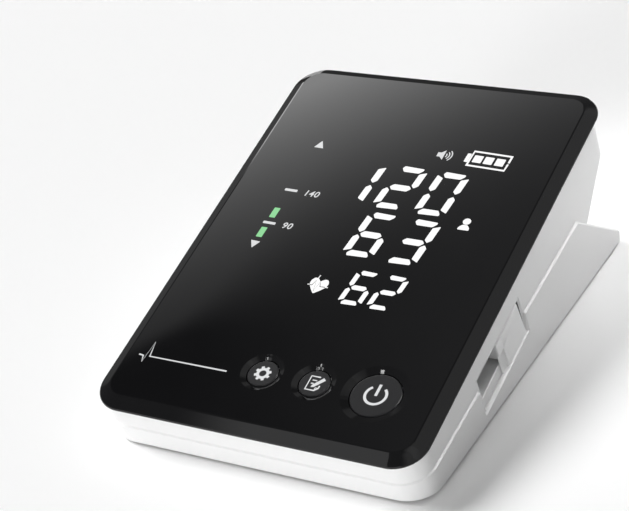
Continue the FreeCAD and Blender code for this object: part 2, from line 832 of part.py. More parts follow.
def make_board():
    body = new_body("main_board")
    block(
        "board_plate",
        ("-board_half", "board_front", "-board_bottom"),
        ("board_half", "board_back", "-board_top"),
        body,
    )
    middle = "(socket_mouth_front + socket_mouth_back) / 2"
    half = "(socket_width / 2 + wall)"
    block(
        "board_tongue_plate",
        ("board_half - wall", f"{middle} - {half}", "-board_bottom"),
        ("board_tongue_x", f"{middle} + {half}", "-board_top"),
        body,
    )
    for number, (x, run) in enumerate(BOARD_SCREWS):
        base = (x, run, "-board_bottom - wall")
        hole = "board_screw_radius + screw_clearance"
        rod(f"board_hole_{number}", base, hole, "board_thickness + 2 * wall", body=body, cut=True)
    on_face(body)

    screws = []
    for number, (x, run) in enumerate(BOARD_SCREWS):
        head = rod(f"board_screw_head_{number}", (x, run, "-board_bottom - board_screw_head"),
                   "board_screw_head_radius", "board_screw_head")
        shank = rod(f"board_screw_shank_{number}", (x, run, "-board_bottom"),
                    "board_screw_radius", "board_screw_length")
        screws.append(fuse(f"board_screw_{number}", [head, shank]))
    on_face(subpart(group("board_screw_set", screws), "board_screws"))

    body = new_body("display_module")
    half = "window_half - module_clearance"
    block(
        "module_block",
        (f"-({half})", "window_front + module_clearance", "-board_top"),
        (half, "window_back - module_clearance", "-module_gap"),
        body,
    )
    on_face(body)

    chip_x = "-board_half / 2"
    chip_run = "button_run"
    body = new_body("control_chip")
    block(
        "chip_block",
        (f"{chip_x} - chip_width / 2", f"{chip_run} - chip_width / 2 + wall", "-board_bottom - chip_height"),
        (f"{chip_x} + chip_width / 2", f"{chip_run} + chip_width / 2 + wall", "-board_bottom"),
        body,
    )
    on_face(body)

    parts = []
    for number, x in enumerate(("board_half / 4", "board_half / 2")):
        base = (x, "button_run + wall", "-board_bottom - 2 * chip_height")
        parts.append(rod(f"capacitor_{number}", base, "chip_width / 4", "2 * chip_height"))
    for number, x in enumerate(("-board_half / 2 - chip_width", "-board_half / 2 + chip_width")):
        parts.append(block(
            f"coil_{number}",
            (f"{x} - chip_width / 4", "button_run - chip_width / 4 + wall", "-board_bottom - chip_height"),
            (f"{x} + chip_width / 4", "button_run + chip_width / 4 + wall", "-board_bottom"),
        ))
    on_face(subpart(group("board_part_set", parts), "board_parts"))


def make_port():
    body = new_body("port_bay")
    block(
        "tray",
        ("tray_inner_x", "port_front", "-port_bottom"),
        ("shell_half", "port_back", "-port_top"),
        body,
    )
    block(
        "tray_flange",
        ("inner_half - tray_flange", "port_front - tray_flange", "-port_bottom - tray_flange"),
        ("inner_half", "port_back + tray_flange", "-port_top + tray_flange"),
        body,
    )
    block(
        "track",
        ("track_floor_x", "port_front + tray_rim", "-port_bottom + tray_rim"),
        ("shell_half + wall", "port_back - tray_rim", "-port_top - tray_rim"),
        body, cut=True,
    )
    block(
        "socket_mouth",
        ("tray_inner_x - wall", "socket_mouth_front", "-socket_mouth_bottom"),
        ("shell_half", "socket_mouth_back", "-socket_mouth_top"),
        body, cut=True,
    )
    slot_front = "cover_front + runner_from_front - cover_travel - track_slot_end"
    slot_back = "cover_front + runner_from_front + runner_length + track_slot_end"
    slot_half = "track_slot_width / 2"
    block(
        "track_slot",
        ("tray_inner_x - wall", slot_front, f"-track_slot_depth - {slot_half}"),
        ("shell_half", slot_back, f"-track_slot_depth + {slot_half}"),
        body, cut=True,
    )
    on_face(body)

    body = new_body("port_cover")
    low_z = "-port_bottom + tray_rim + cover_clearance"
    high_z = "-port_top - tray_rim - cover_clearance"
    inner_x = "track_floor_x + cover_clearance / 2"
    plate = draw_polygon(
        sketch_on(body, "cover_plate", "XZ_Plane", "-cover_back"),
        [
            (inner_x, low_z),
            ("shell_half + cover_proud_low", low_z),
            ("shell_half + cover_proud_high", high_z),
            (inner_x, high_z),
        ],
    )
    pad(body, plate, "cover_length")
    step_front = "cover_front - cover_step_length"
    step_back = "cover_front + cover_clearance"
    block("cover_step", (inner_x, step_front, low_z), ("shell_half", step_back, high_z), body)
    block(
        "cover_grip",
        (inner_x, step_front, f"{high_z} - cover_grip_height"),
        ("shell_half + cover_grip_proud", step_back, high_z),
        body,
    )
    start = "cover_front + runner_from_front"
    end = f"{start} + runner_length"
    behind = "tray_inner_x - cover_clearance"
    neck = "(track_slot_width / 2 - runner_clearance)"
    head = "runner_head_width / 2"
    block(
        "runner_neck",
        (f"{behind} - runner_head / 2", start, f"-track_slot_depth - {neck}"),
        (f"{inner_x} + cover_clearance", end, f"-track_slot_depth + {neck}"),
        body,
    )
    block(
        "runner_head_plate",
        (f"{behind} - runner_head", start, f"-track_slot_depth - {head}"),
        (behind, end, f"-track_slot_depth + {head}"),
        body,
    )
    on_face(body)

    body = new_body("charging_socket")
    middle = "(socket_mouth_front + socket_mouth_back) / 2"
    half = "socket_width / 2"
    face_x = "board_tongue_x"
    back_x = f"{face_x} - socket_length"
    block(
        "socket_case",
        (back_x, f"{middle} - {half}", "-board_bottom - socket_height"),
        (face_x, f"{middle} + {half}", "-board_bottom"),
        body,
    )
    along = value("socket_length") / 2
    round_edges(body, "socket_edge", lambda edge: edge.BoundBox.XLength > along)
    low = "-board_bottom - socket_height + socket_wall"
    block(
        "socket_room",
        (f"{back_x} + socket_back", f"{middle} - {half} + socket_wall", low),
        (f"{face_x} + wall", f"{middle} + {half} - socket_wall", "-board_bottom - socket_wall"),
        body, cut=True,
    )
    level = "(board_bottom + socket_height / 2)"
    block(
        "socket_tongue",
        (back_x, f"{middle} - {half} + tongue_margin", f"-{level} - tongue_thickness / 2"),
        (f"{face_x} - socket_back", f"{middle} + {half} - tongue_margin", f"-{level} + tongue_thickness / 2"),
        body,
    )
    on_face(body)


def make_air_sockets():
    body = new_body("air_sockets")
    block(
        "socket_block",
        ("-inner_half", "hose_one_y - socket_block_wall", "floor_top"),
        ("-socket_inner_x", "hose_two_y + socket_block_wall", "air_height + collar_radius"),
        body,
    )
    for number, y in enumerate(("hose_one_y", "hose_two_y")):
        face = ("-socket_face_x", y, "air_height")
        rod(f"hose_collar_{number}", face, "collar_radius", "socket_face_x - inner_half + wall", "x", body)
        barb_base = ("-socket_inner_x - wall / 2", y, "air_height")
        rod(f"hose_barb_{number}", barb_base, "barb_radius", "barb_length + wall / 2", "x", body)
        rod(f"hose_bore_{number}", face, "hose_bore", "hose_depth", "x", body, cut=True)
        duct = "socket_block_length + barb_length + wall"
        rod(f"hose_duct_{number}", face, "barb_bore", duct, "x", body, cut=True)


def add_branches(body, name, centre, branches):
    """Hose barbs that leave a fitting's centre, with the passage that joins them."""
    for axis, length in branches:
        reach = f"joint_size / 2 + {length}"
        rod(f"{name}_barb", centre, "barb_radius", reach, axis, body)
    for axis, length in branches:
        reach = f"joint_size / 2 + {length}"
        rod(f"{name}_passage", centre, "barb_bore", reach, axis, body, cut=True)


def make_fittings():
    half = "joint_size / 2"
    body = new_body("air_joint")
    block(
        "joint_block",
        (f"joint_x - {half}", f"joint_run - {half}", f"-joint_depth - {half}"),
        (f"joint_x + {half}", f"joint_run + {half}", f"-joint_depth + {half}"),
        body,
    )
    branches = [("-x", "barb_length"), ("x", "barb_length"), ("y", "short_barb")]
    add_branches(body, "joint", ("joint_x", "joint_run", "-joint_depth"), branches)
    on_face(body)

    body = new_body("pump_tee")
    block(
        "tee_block",
        (f"pump_x - {half}", f"tee_y - {half}", f"air_height - {half}"),
        (f"pump_x + {half}", f"tee_y + {half}", f"air_height + {half}"),
        body,
    )
    branches = [("-y", "barb_length"), ("y", "barb_length"), ("x", "short_barb")]
    add_branches(body, "tee", ("pump_x", "tee_y", "air_height"), branches)


def make_sensors():
    half = "sensor_width / 2"
    sensors = []
    layout = [("sensor_one_x", "-x", "barb_length"), ("joint_x", "-y", "short_barb")]
    for number, (x, axis, length) in enumerate(layout):
        case = block(
            f"sensor_case_{number}",
            (f"{x} - {half}", f"sensor_run - {half}", "-joint_depth - sensor_drop"),
            (f"{x} + {half}", f"sensor_run + {half}", "-board_bottom"),
        )
        barb = rod(f"sensor_barb_{number}", (x, "sensor_run", "-joint_depth"),
                   "barb_radius", f"{half} + {length}", axis)
        sensors.append(fuse(f"sensor_{number}", [case, barb]))
    on_face(subpart(group("sensor_set", sensors), "pressure_sensors"))


def make_pump():
    body = new_body("pump_head")
    block(
        "head_block",
        ("pump_x - pump_head_width / 2", "pump_y", "pump_z - pump_head_height / 2"),
        ("pump_x + pump_head_width / 2", "pump_y + pump_head_length", "pump_z + pump_head_height / 2"),
        body,
    )
    base = ("pump_x", "pump_y + wall", "air_height")
    rod("head_barb", base, "barb_radius", "barb_length + wall", "-y", body)

    body = new_body("pump_motor")
    front = "pump_y + pump_head_length"
    rod("motor_can", ("pump_x", front, "pump_z"), "pump_radius", "pump_length", "y", body)
    rod("motor_cap", ("pump_x", f"{front} + pump_length", "pump_z"), "pump_cap_radius", "pump_cap", "y", body)

    body = new_body("pump_cradle")
    middle = f"({front} + pump_length / 2)"
    block(
        "cradle_block",
        ("pump_x - cradle_width / 2", f"{middle} - cradle_length / 2", "floor_top"),
        ("pump_x + cradle_width / 2", f"{middle} + cradle_length / 2", "floor_top + cradle_height"),
        body,
    )
    rod("cradle_seat", ("pump_x", front, "pump_z"), "pump_radius", "pump_length", "y", body, cut=True)

    body = new_body("exhaust_valve")
    rod("valve_can", ("valve_x", "tee_y", "floor_top"), "valve_radius", "valve_height", "z", body)
    nozzle = ("valve_x", "tee_y", "air_height")
    rod("valve_nozzle", nozzle, "barb_radius", "valve_radius + short_barb", "-x", body)


def straight_tube(label, base, length, axis, tilted=False):
    """A straight length of air tube pushed over a barb at each end."""
    outside = rod(label + "_outside", base, "tube_radius", length, axis)
    inside = rod(label + "_inside", base, "tube_bore", length, axis)
    tube = subpart(cut(label + "_wall", outside, inside), label)
    return on_face(tube) if tilted else tube


def bent_path(points):
    """Straight runs joined by tangent arcs; both ends stay straight over their barbs."""
    corners = [FreeCAD.Vector(*(value(text) for text in point)) for point in points]
    runs = [(after - before).Length for before, after in zip(corners, corners[1:])]
    room = [0.45 * length for length in runs]
    room[0] = runs[0] - value("barb_length")
    room[-1] = runs[-1] - value("barb_length")
    edges = []
    start = corners[0]
    for number in range(1, len(corners) - 1):
        corner = corners[number]
        heading = (corner - corners[number - 1]).normalize()
        turned = (corners[number + 1] - corner).normalize()
        reach = min(room[number - 1], room[number])
        radius = reach / math.tan(heading.getAngle(turned) / 2)
        enter = corner - heading * reach
        leave = corner + turned * reach
        inward = (turned - heading).normalize()
        centre = corner + inward * math.hypot(radius, reach)
        edges.append(Part.LineSegment(start, enter).toShape())
        edges.append(Part.Arc(enter, centre - inward * radius, leave).toShape())
        start = leave
        print(f"bend radius {radius:.1f}")
    edges.append(Part.LineSegment(start, corners[-1]).toShape())
    return Part.Wire(edges)


def bent_tube(label, points):
    """An air tube along a bent route, hollow from end to end."""
    path = bent_path(points)
    start = path.Edges[0].valueAt(path.Edges[0].FirstParameter)
    heading = path.Edges[0].tangentAt(path.Edges[0].FirstParameter)
    solids = []
    for size in ("tube_radius", "tube_bore"):
        ring = Part.Wire(Part.makeCircle(value(size), start, heading))
        solids.append(path.makePipeShell([ring], True, False))
    thing = doc.addObject("Part::Feature", label + "_pipe")
    thing.Shape = solids[0].cut(solids[1])
    return subpart(thing, label)


def make_tubes():
    half = "joint_size / 2"
    start = "(-socket_inner_x)"
    length = f"joint_x - {half} - {start}"
    straight_tube("inflation_tube", (start, "hose_one_y", "air_height"), length, "x")
    start = f"(joint_run + {half})"
    straight_tube(
        "joint_sensor_tube",
        ("joint_x", start, "-joint_depth"),
        f"sensor_run - sensor_width / 2 - {start}", "y", tilted=True,
    )
    start = f"(tee_y + {half})"
    straight_tube("pump_tube", ("pump_x", start, "air_height"), f"pump_y - {start}", "y")
    start = f"(pump_x + {half})"
    length = f"valve_x - valve_radius - {start}"
    straight_tube("valve_tube", (start, "tee_y", "air_height"), length, "x")
    bent_tube("supply_tube", [
        (f"joint_x + {half}", "hose_one_y", "air_height"),
        ("pump_x", "hose_one_y", "air_height"),
        ("pump_x", f"tee_y - {half}", "air_height"),
    ])
    start = "(-socket_inner_x)"
    end = "(sensor_one_x - sensor_width / 2)"
    third = f"({end} - {start}) / 3"
    bent_tube("sensing_tube", [
        (start, "hose_two_y", "air_height"),
        (f"{start} + {third}", "hose_two_y", "air_height"),
        (f"{end} - {third}", "hose_two_y", "sensor_z"),
        (end, "hose_two_y", "sensor_z"),
    ])


def make_speaker():
    body = new_body("speaker")
    seat = ("speaker_x", "speaker_y", "floor_top")
    rod("speaker_frame", seat, "speaker_radius", "speaker_thickness", body=body)
    back = ("speaker_x", "speaker_y", "floor_top + speaker_thickness")
    rod("speaker_magnet", back, "magnet_radius", "magnet_height", body=body)


def make_battery():
    cells = []
    springs = []
    plates = []
    level = "(floor_top + cell_lift + cell_radius)"
    left = "(bay_x - bay_length / 2)"
    right = "(bay_x + bay_length / 2)"
    for number in range(round(value("cell_count"))):
        y = f"(bay_y + ({number} - (cell_count - 1) / 2) * cell_pitch)"
        flip = number % 2 == 1
        axis = "-x" if flip else "x"
        sign = "-" if flip else "+"
        spring_end = right if flip else left
        start = f"({spring_end} {sign} (plate_thickness + spring_length))"
        can = rod(f"cell_can_{number}", (start, y, level), "cell_radius", "cell_length", axis)
        nub_base = (f"{start} {sign} cell_length", y, level)
        nub = rod(f"cell_nub_{number}", nub_base, "cell_nub_radius", "cell_nub", axis)
        cells.append(fuse(f"cell_{number}", [can, nub]))
        spring_base = (f"{spring_end} {sign} plate_thickness", y, level)
        springs.append(rod(f"cell_spring_{number}", spring_base, "spring_radius", "spring_length", axis,
                           end_radius="spring_tip_radius"))
        for end, edge in (("left", left), ("right", f"({right} - plate_thickness)")):
            plates.append(block(
                f"plate_{end}_{number}",
                (edge, f"{y} - plate_width / 2", f"{level} - plate_width / 2"),
                (f"{edge} + plate_thickness", f"{y} + plate_width / 2", f"{level} + plate_width / 2"),
            ))
    subpart(group("cell_set", cells), "battery_cells")
    subpart(group("spring_set", springs), "battery_springs")
    subpart(group("plate_set", plates), "battery_plates")

    body = new_body("battery_door")
    door_half = "(bay_length / 2 + door_ledge - door_gap)"
    front = "(door_hinge_y + door_gap)"
    back = "(bay_y + bay_width / 2 + door_ledge - door_gap)"
    top = "(foot_stand + door_thickness)"
    low = (f"bay_x - {door_half}", front, "foot_stand")
    block("door_plate", low, (f"bay_x + {door_half}", back, top), body)
    tab_low = "(floor_top + door_gap)"
    tab_top = f"{tab_low} + door_tab_thickness"
    for side in ("-", "+"):
        middle = f"bay_x {side} door_tab_spread"
        block(
            "door_tab_web",
            (f"{middle} - door_tab_width / 2", front, "foot_stand"),
            (f"{middle} + door_tab_width / 2", f"{front} + door_tab_thickness", tab_top),
            body,
        )
        block(
            "door_tab",
            (f"{middle} - door_tab_width / 2", "door_hinge_y - door_tab_reach", tab_low),
            (f"{middle} + door_tab_width / 2", front, tab_top),
            body,
        )
    inner_back = "(bay_y + bay_width / 2 - door_gap)"
    block(
        "door_catch",
        ("bay_x - door_catch_width / 2", f"{inner_back} - door_catch_thickness", "foot_stand"),
        ("bay_x + door_catch_width / 2", inner_back, f"{top} + door_catch_height"),
        body,
    )


def make_fasteners():
    screws = []
    for number, (x, run) in enumerate(CASE_SCREWS):
        seat = f"({parting_depth(run)} + case_screw_web)"
        head = rod(f"case_screw_head_{number}", (x, run, f"-{seat} - case_screw_head"),
                   "case_screw_head_radius", "case_screw_head")
        shank = rod(f"case_screw_shank_{number}", (x, run, f"-{seat}"),
                    "case_screw_radius", "case_screw_web + case_screw_bite")
        screws.append(fuse(f"case_screw_{number}", [head, shank]))
    on_face(subpart(group("case_screw_set", screws), "case_screws"))
    feet = []
    for number, (x, run) in enumerate(FEET):
        feet.append(rod(f"foot_{number}", (x, from_front(run), "0"), "foot_radius", "foot_height"))
    subpart(group("foot_set", feet), "rubber_feet")


make_face_panel()
make_panel_tape()
make_upper_shell()
make_base_shell()
make_buttons()
make_switches()
make_board()
make_port()
make_air_sockets()
make_fittings()
make_sensors()
make_pump()
make_tubes()
make_speaker()
make_battery()
make_fasteners()
doc.recompute()

for item in doc.Objects:
    if "Invalid" in item.State or "Error" in item.State:
        raise RuntimeError(f"{item.Name} failed: {item.State}")
os.makedirs("parts", exist_ok=True)
for item in subparts:
    if item.Shape.isNull() or not item.Shape.isValid():
        raise RuntimeError(f"{item.Label} has no valid shape")
for item in subparts:
    item.Shape.exportStep(f"parts/{item.Label}.step")
    print(f"{item.Label}: {len(item.Shape.Solids)} solids, {item.Shape.Volume:.1f} mm3")
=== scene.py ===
import logging
import math
from dataclasses import dataclass, field
from enum import Enum
from typing import Any, Callable, ClassVar, Sequence, Union

import bmesh
import bpy
from mathutils import Matrix, Vector


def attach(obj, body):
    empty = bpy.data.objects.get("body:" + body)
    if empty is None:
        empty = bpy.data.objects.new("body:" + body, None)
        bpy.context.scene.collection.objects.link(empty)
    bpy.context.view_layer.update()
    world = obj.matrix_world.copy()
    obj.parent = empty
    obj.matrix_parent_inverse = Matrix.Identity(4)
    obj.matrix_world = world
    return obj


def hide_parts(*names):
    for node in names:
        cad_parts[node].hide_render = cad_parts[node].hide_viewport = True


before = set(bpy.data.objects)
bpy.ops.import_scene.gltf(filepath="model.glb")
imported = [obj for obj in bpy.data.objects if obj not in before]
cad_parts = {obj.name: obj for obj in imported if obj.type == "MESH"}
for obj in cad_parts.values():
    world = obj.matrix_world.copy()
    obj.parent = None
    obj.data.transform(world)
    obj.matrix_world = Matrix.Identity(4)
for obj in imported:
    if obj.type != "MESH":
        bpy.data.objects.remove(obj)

# Looks for a desk-top blood pressure monitor, in metres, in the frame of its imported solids.
# Marks on the tilted face are laid out in millimetres: x to the right, y up the slope from the panel's front edge.

LOG = logging.getLogger("monitor")
MM = 0.001
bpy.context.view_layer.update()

Point = tuple[float, float]
Triple = tuple[float, float, float]
Colour = Triple


class Body(Enum):
    """The bodies that pieces ride on."""

    HOUSING = "housing"
    SETTINGS = "settings"
    MEMORY = "memory"
    POWER = "power"
    COVER = "cover"


class Slot(Enum):
    """The record's material slots, named for each new piece."""

    CASING = "casing_white"
    COVER = "cover_white"
    RUBBER = "foot_rubber"
    PANEL = "panel_black"
    DISPLAY = "display_black"
    WHITE_SEGMENT = "segment_white"
    GREEN_SEGMENT = "segment_green"
    PRINT = "icon_white"


class Segment(Enum):
    """The seven bars of a digit, by their side and height about its middle."""

    TOP = (0, 1)
    MIDDLE = (0, 0)
    BOTTOM = (0, -1)
    UPPER_LEFT = (-1, 1)
    UPPER_RIGHT = (1, 1)
    LOWER_LEFT = (-1, -1)
    LOWER_RIGHT = (1, -1)


ALL_SEGMENTS = frozenset(Segment)
LIT_SEGMENTS: dict[int, frozenset[Segment]] = {
    0: ALL_SEGMENTS - {Segment.MIDDLE},
    1: frozenset({Segment.UPPER_RIGHT, Segment.LOWER_RIGHT}),
    2: ALL_SEGMENTS - {Segment.UPPER_LEFT, Segment.LOWER_RIGHT},
    3: ALL_SEGMENTS - {Segment.UPPER_LEFT, Segment.LOWER_LEFT},
    6: ALL_SEGMENTS - {Segment.UPPER_RIGHT},
}


class Signal:
    """A shader value; arithmetic on it adds Math nodes."""

    def __init__(self, book: "NodeBook", socket: bpy.types.NodeSocket) -> None:
        """Wraps a node's output in its tree."""
        self.book = book
        self.socket = socket

    def _math(self, operation: str, first: "Operand", second: "Operand") -> "Signal":
        """Adds one Math node and gives its result."""
        return self.book.signal("Math", {0: first, 1: second}, operation=operation)

    def __add__(self, other: "Operand") -> "Signal":
        """Sum."""
        return self._math("ADD", self, other)

    def __radd__(self, other: "Operand") -> "Signal":
        """Sum with a number in front."""
        return self._math("ADD", other, self)

    def __sub__(self, other: "Operand") -> "Signal":
        """Difference."""
        return self._math("SUBTRACT", self, other)

    def __rsub__(self, other: "Operand") -> "Signal":
        """Difference from a number in front."""
        return self._math("SUBTRACT", other, self)

    def __mul__(self, other: "Operand") -> "Signal":
        """Product."""
        return self._math("MULTIPLY", self, other)

    def __rmul__(self, other: "Operand") -> "Signal":
        """Product with a number in front."""
        return self._math("MULTIPLY", other, self)

    def __rpow__(self, base: float) -> "Signal":
        """A number raised to this value."""
        return self._math("POWER", base, self)


Operand = Union[Signal, float]
Sockets = dict[str | int, Any]


class NodeBook:
    """One node tree, filled by one method."""

    def __init__(self, tree: bpy.types.NodeTree) -> None:
        """Empties a material's or the world's tree."""
        self.tree = tree
        tree.nodes.clear()

    def add(self, kind: str, sockets: Sockets | None = None, **settings: Any) -> bpy.types.Node:
        """Adds a node.

        Args:
            kind: the shader node's type.
            sockets: a value or a link for each named or numbered input.
            settings: its own settings, set first.

        Returns:
            The node.
        """
        node = self.tree.nodes.new("ShaderNode" + kind)
        for key, value in settings.items():
            setattr(node, key, value)
        for key, value in (sockets or {}).items():
            source = value.socket if isinstance(value, Signal) else value
            if isinstance(source, bpy.types.NodeSocket):
                self.tree.links.new(source, node.inputs[key])
            else:
                node.inputs[key].default_value = source
        return node

    def signal(self, kind: str, sockets: Sockets, output: str | int = 0, **settings: Any) -> Signal:
        """Adds a node and gives one of its outputs as a value."""
        return Signal(self, self.add(kind, sockets, **settings).outputs[output])

    def place(self) -> bpy.types.NodeSocket:
        """The point on the piece, in its own frame."""
        return self.add("TexCoord").outputs["Object"]

    def axes(self, vector: bpy.types.NodeSocket) -> list[Signal]:
        """A vector's x, y and z."""
        split = self.add("SeparateXYZ", {0: vector})
        return [Signal(self, output) for output in split.outputs]

    def seen_by(self, *rays: str) -> Signal:
        """1 for these kinds of ray and 0 for others."""
        outputs = self.add("LightPath").outputs
        return sum(Signal(self, outputs[f"Is {ray} Ray"]) for ray in rays)

    def noise(self, scale: float, detail: float = 2.0, stretch: Triple = (1.0, 1.0, 1.0)) -> Signal:
        """Even noise about 0.5: features per metre, finer layers and the scale along each axis."""
        point = self.add("Mapping", {"Vector": self.place(), "Scale": stretch}).outputs[0]
        return self.signal("TexNoise", {"Vector": point, "Scale": scale, "Detail": detail, "Roughness": 0.55})

    def blend(self, factor: Signal, first: Any, second: Any) -> bpy.types.NodeSocket:
        """Mixes two colours."""
        sockets = {"Factor": factor, 6: first, 7: second}
        return self.add("Mix", sockets, data_type="RGBA").outputs[2]

    def tone(self, colour: Colour, spread: float, pattern: Signal) -> bpy.types.NodeSocket:
        """A colour that wanders a little darker and lighter.

        Args:
            colour: the middle colour.
            spread: how far it wanders, as a share.
            pattern: where it is darker and lighter.

        Returns:
            The colour.
        """
        dark = tuple(channel * (1 - spread) for channel in colour)
        light = tuple(min(1.0, channel * (1 + spread)) for channel in colour)
        return self.blend(pattern, (*dark, 1.0), (*light, 1.0))

    def step(self, value: Signal, low: Operand, high: Operand) -> Signal:
        """A soft step from 0 at low to 1 at high."""
        sockets = {"Value": value, "From Min": low, "From Max": high}
        return self.signal("MapRange", sockets, interpolation_type="SMOOTHSTEP")

    def window(self, value: Signal, low: float, high: float, soft: float) -> Signal:
        """1 from low to high and 0 outside them, with soft flanks."""
        return self.step(value, low - soft, low) * self.step(value, high + soft, high)

    def bump(self, height: Signal, depth: float, strength: float) -> bpy.types.NodeSocket:
        """Fine relief for the Normal input: its pattern, its depth in metres and how much of it shows."""
        sockets = {"Height": height, "Distance": depth, "Strength": strength}
        return self.add("Bump", sockets).outputs[0]


@dataclass(frozen=True)
class Finish:
    """What every finish has; its clouds have features per metre and finer layers."""

    name: str
    colour: Colour
    roughness: float
    tone_spread: float = 0.02
    gloss_spread: float = 0.06
    cloud: ClassVar[Point] = (60.0, 2.0)

    def material(self) -> bpy.types.Material:
        """Makes the finish's material once.

        Returns:
            The material.
        """
        found = bpy.data.materials.get(self.name)
        if found:
            return found
        material = bpy.data.materials.new(self.name)
        material.use_nodes = True
        book = NodeBook(material.node_tree)
        surface = book.add("BsdfPrincipled", self.sockets(book, self.pattern(book)))
        book.add("OutputMaterial", {"Surface": surface.outputs[0]})
        return material

    def pattern(self, book: NodeBook) -> Signal:
        """Where the finish is darker and lighter."""
        return book.noise(*self.cloud)

    def sockets(self, book: NodeBook, pattern: Signal) -> Sockets:
        """The shader's inputs: tone and gloss wander with the pattern."""
        return {
            "Base Color": book.tone(self.colour, self.tone_spread, pattern),
            "Roughness": self.roughness + (pattern - 0.5) * self.gloss_spread,
        }


@dataclass(frozen=True)
class MouldedPlastic(Finish):
    """Plastic from a fine-grained mould."""

    grain_scale: float = 2600.0
    grain_depth: float = 0.00002
    grain_strength: float = 0.25
    cloud: ClassVar[Point] = (38.0, 3.0)

    def sockets(self, book: NodeBook, pattern: Signal) -> Sockets:
        """Wandering tone and gloss under a fine grain."""
        grain = book.bump(book.noise(self.grain_scale), self.grain_depth, self.grain_strength)
        return super().sockets(book, pattern) | {"IOR": 1.5, "Normal": grain}


@dataclass(frozen=True)
class PolishedPanel(Finish):
    """Hard black sheet with a polished face and the faintest haze."""

    tone_spread: float = 0.12
    haze: float = 0.02
    wipe_scale: float = 45.0
    wipe_stretch: Triple = (1.0, 0.25, 1.0)

    def sockets(self, book: NodeBook, pattern: Signal) -> Sockets:
        """A near-mirror whose gloss varies with faint wiping haze."""
        wipe = book.noise(self.wipe_scale, 4.0, self.wipe_stretch)
        return {
            "Base Color": book.tone(self.colour, self.tone_spread, pattern),
            "Roughness": self.roughness + wipe * self.haze,
            "IOR": 1.5,
        }


@dataclass(frozen=True)
class PlatedMetal(Finish):
    """Plated or drawn metal with fine lines."""

    tone_spread: float = 0.08
    gloss_spread: float = 0.16
    line_stretch: Triple = (1.0, 0.08, 1.0)
    line_depth: float = 0.00001
    cloud: ClassVar[Point] = (900.0, 3.0)

    def pattern(self, book: NodeBook) -> Signal:
        """The drawn lines."""
        return book.noise(*self.cloud, self.line_stretch)

    def sockets(self, book: NodeBook, pattern: Signal) -> Sockets:
        """Metal with drawn lines in its gloss and relief."""
        relief = book.bump(pattern, self.line_depth, 0.2)
        return super().sockets(book, pattern) | {"Metallic": 1.0, "Normal": relief}


@dataclass(frozen=True)
class SoftRubber(Finish):
    """Rubber, silicone and foam."""

    tone_spread: float = 0.1
    gloss_spread: float = 0.1
    pore_scale: float = 1400.0
    pore_depth: float = 0.00006
    cloud: ClassVar[Point] = (70.0, 2.0)

    def sockets(self, book: NodeBook, pattern: Signal) -> Sockets:
        """A dull surface with small pores."""
        pores = book.bump(book.noise(self.pore_scale, 3.0), self.pore_depth, 0.4)
        return super().sockets(book, pattern) | {"Normal": pores}


@dataclass(frozen=True)
class BoardResist(Finish):
    """A circuit board's coating over its copper tracks."""

    tone_spread: float = 0.35
    gloss_spread: float = 0.08
    track_pitch: float = 0.0032
    track_length: float = 0.016
    track_gap: float = 0.0003
    track_depth: float = 0.00003

    def pattern(self, book: NodeBook) -> Signal:
        """The broad tracks."""
        sockets = {
            "Vector": book.place(),
            "Scale": 1.0,
            "Mortar Size": self.track_gap,
            "Brick Width": self.track_length,
            "Row Height": self.track_pitch,
        }
        return book.signal("TexBrick", sockets, "Fac", offset=0.35)

    def sockets(self, book: NodeBook, pattern: Signal) -> Sockets:
        """Broad tracks a shade lighter than the coating."""
        return super().sockets(book, pattern) | {"Normal": book.bump(pattern, self.track_depth, 0.3)}


@dataclass(frozen=True)
class CellWrap(Finish):
    """A battery's shrunk wrap: a plain band of metal colour at one end of each cell."""

    gloss_spread: float = 0.1
    band_colour: Colour = (0.55, 0.36, 0.16)
    band_edge: float = -0.022
    band_width: float = 0.0008
    band_metal: float = 0.9
    cloud: ClassVar[Point] = (120.0, 2.0)

    def sockets(self, book: NodeBook, pattern: Signal) -> Sockets:
        """Dark wrap with a copper-coloured band past an edge along x."""
        band = book.step(book.axes(book.place())[0], self.band_edge + self.band_width, self.band_edge)
        return {
            "Base Color": book.blend(band, (*self.colour, 1.0), (*self.band_colour, 1.0)),
            "Metallic": band * self.band_metal,
            "Roughness": self.roughness + (pattern - 0.5) * self.gloss_spread,
        }


@dataclass(frozen=True)
class LitMark(Finish):
    """A mark that glows through the panel, with a faint unevenness of the lamp behind it; on printed marks the glow is
    painted light.
    """

    glow: float = 0.8
    unlit: float = 0.05
    cloud: ClassVar[Point] = (160.0, 2.0)

    def sockets(self, book: NodeBook, pattern: Signal) -> Sockets:
        """A nearly even glow over a dark ground."""
        return {
            "Base Color": (*(self.unlit * channel for channel in self.colour), 1.0),
            "Roughness": self.roughness,
            "Emission Color": book.tone(self.colour, self.tone_spread, pattern),
            "Emission Strength": self.glow,
        }


@dataclass(frozen=True)
class StudioPaper(Finish):
    """Matt white paper, duller as a light on other things than to the eye."""

    tone_spread: float = 0.002
    gloss_spread: float = 0.02
    bounce: Colour = (0.7, 0.7, 0.7)
    eyes: ClassVar[tuple[str, ...]] = ("Camera", "Glossy", "Transmission")
    cloud: ClassVar[Point] = (38.0, 3.0)

    def sockets(self, book: NodeBook, pattern: Signal) -> Sockets:
        """Full white where it is looked at or mirrored, with faint clouds."""
        inputs = super().sockets(book, pattern)
        return inputs | {
            "Base Color": book.blend(book.seen_by(*self.eyes), (*self.bounce, 1.0), inputs["Base Color"])
        }


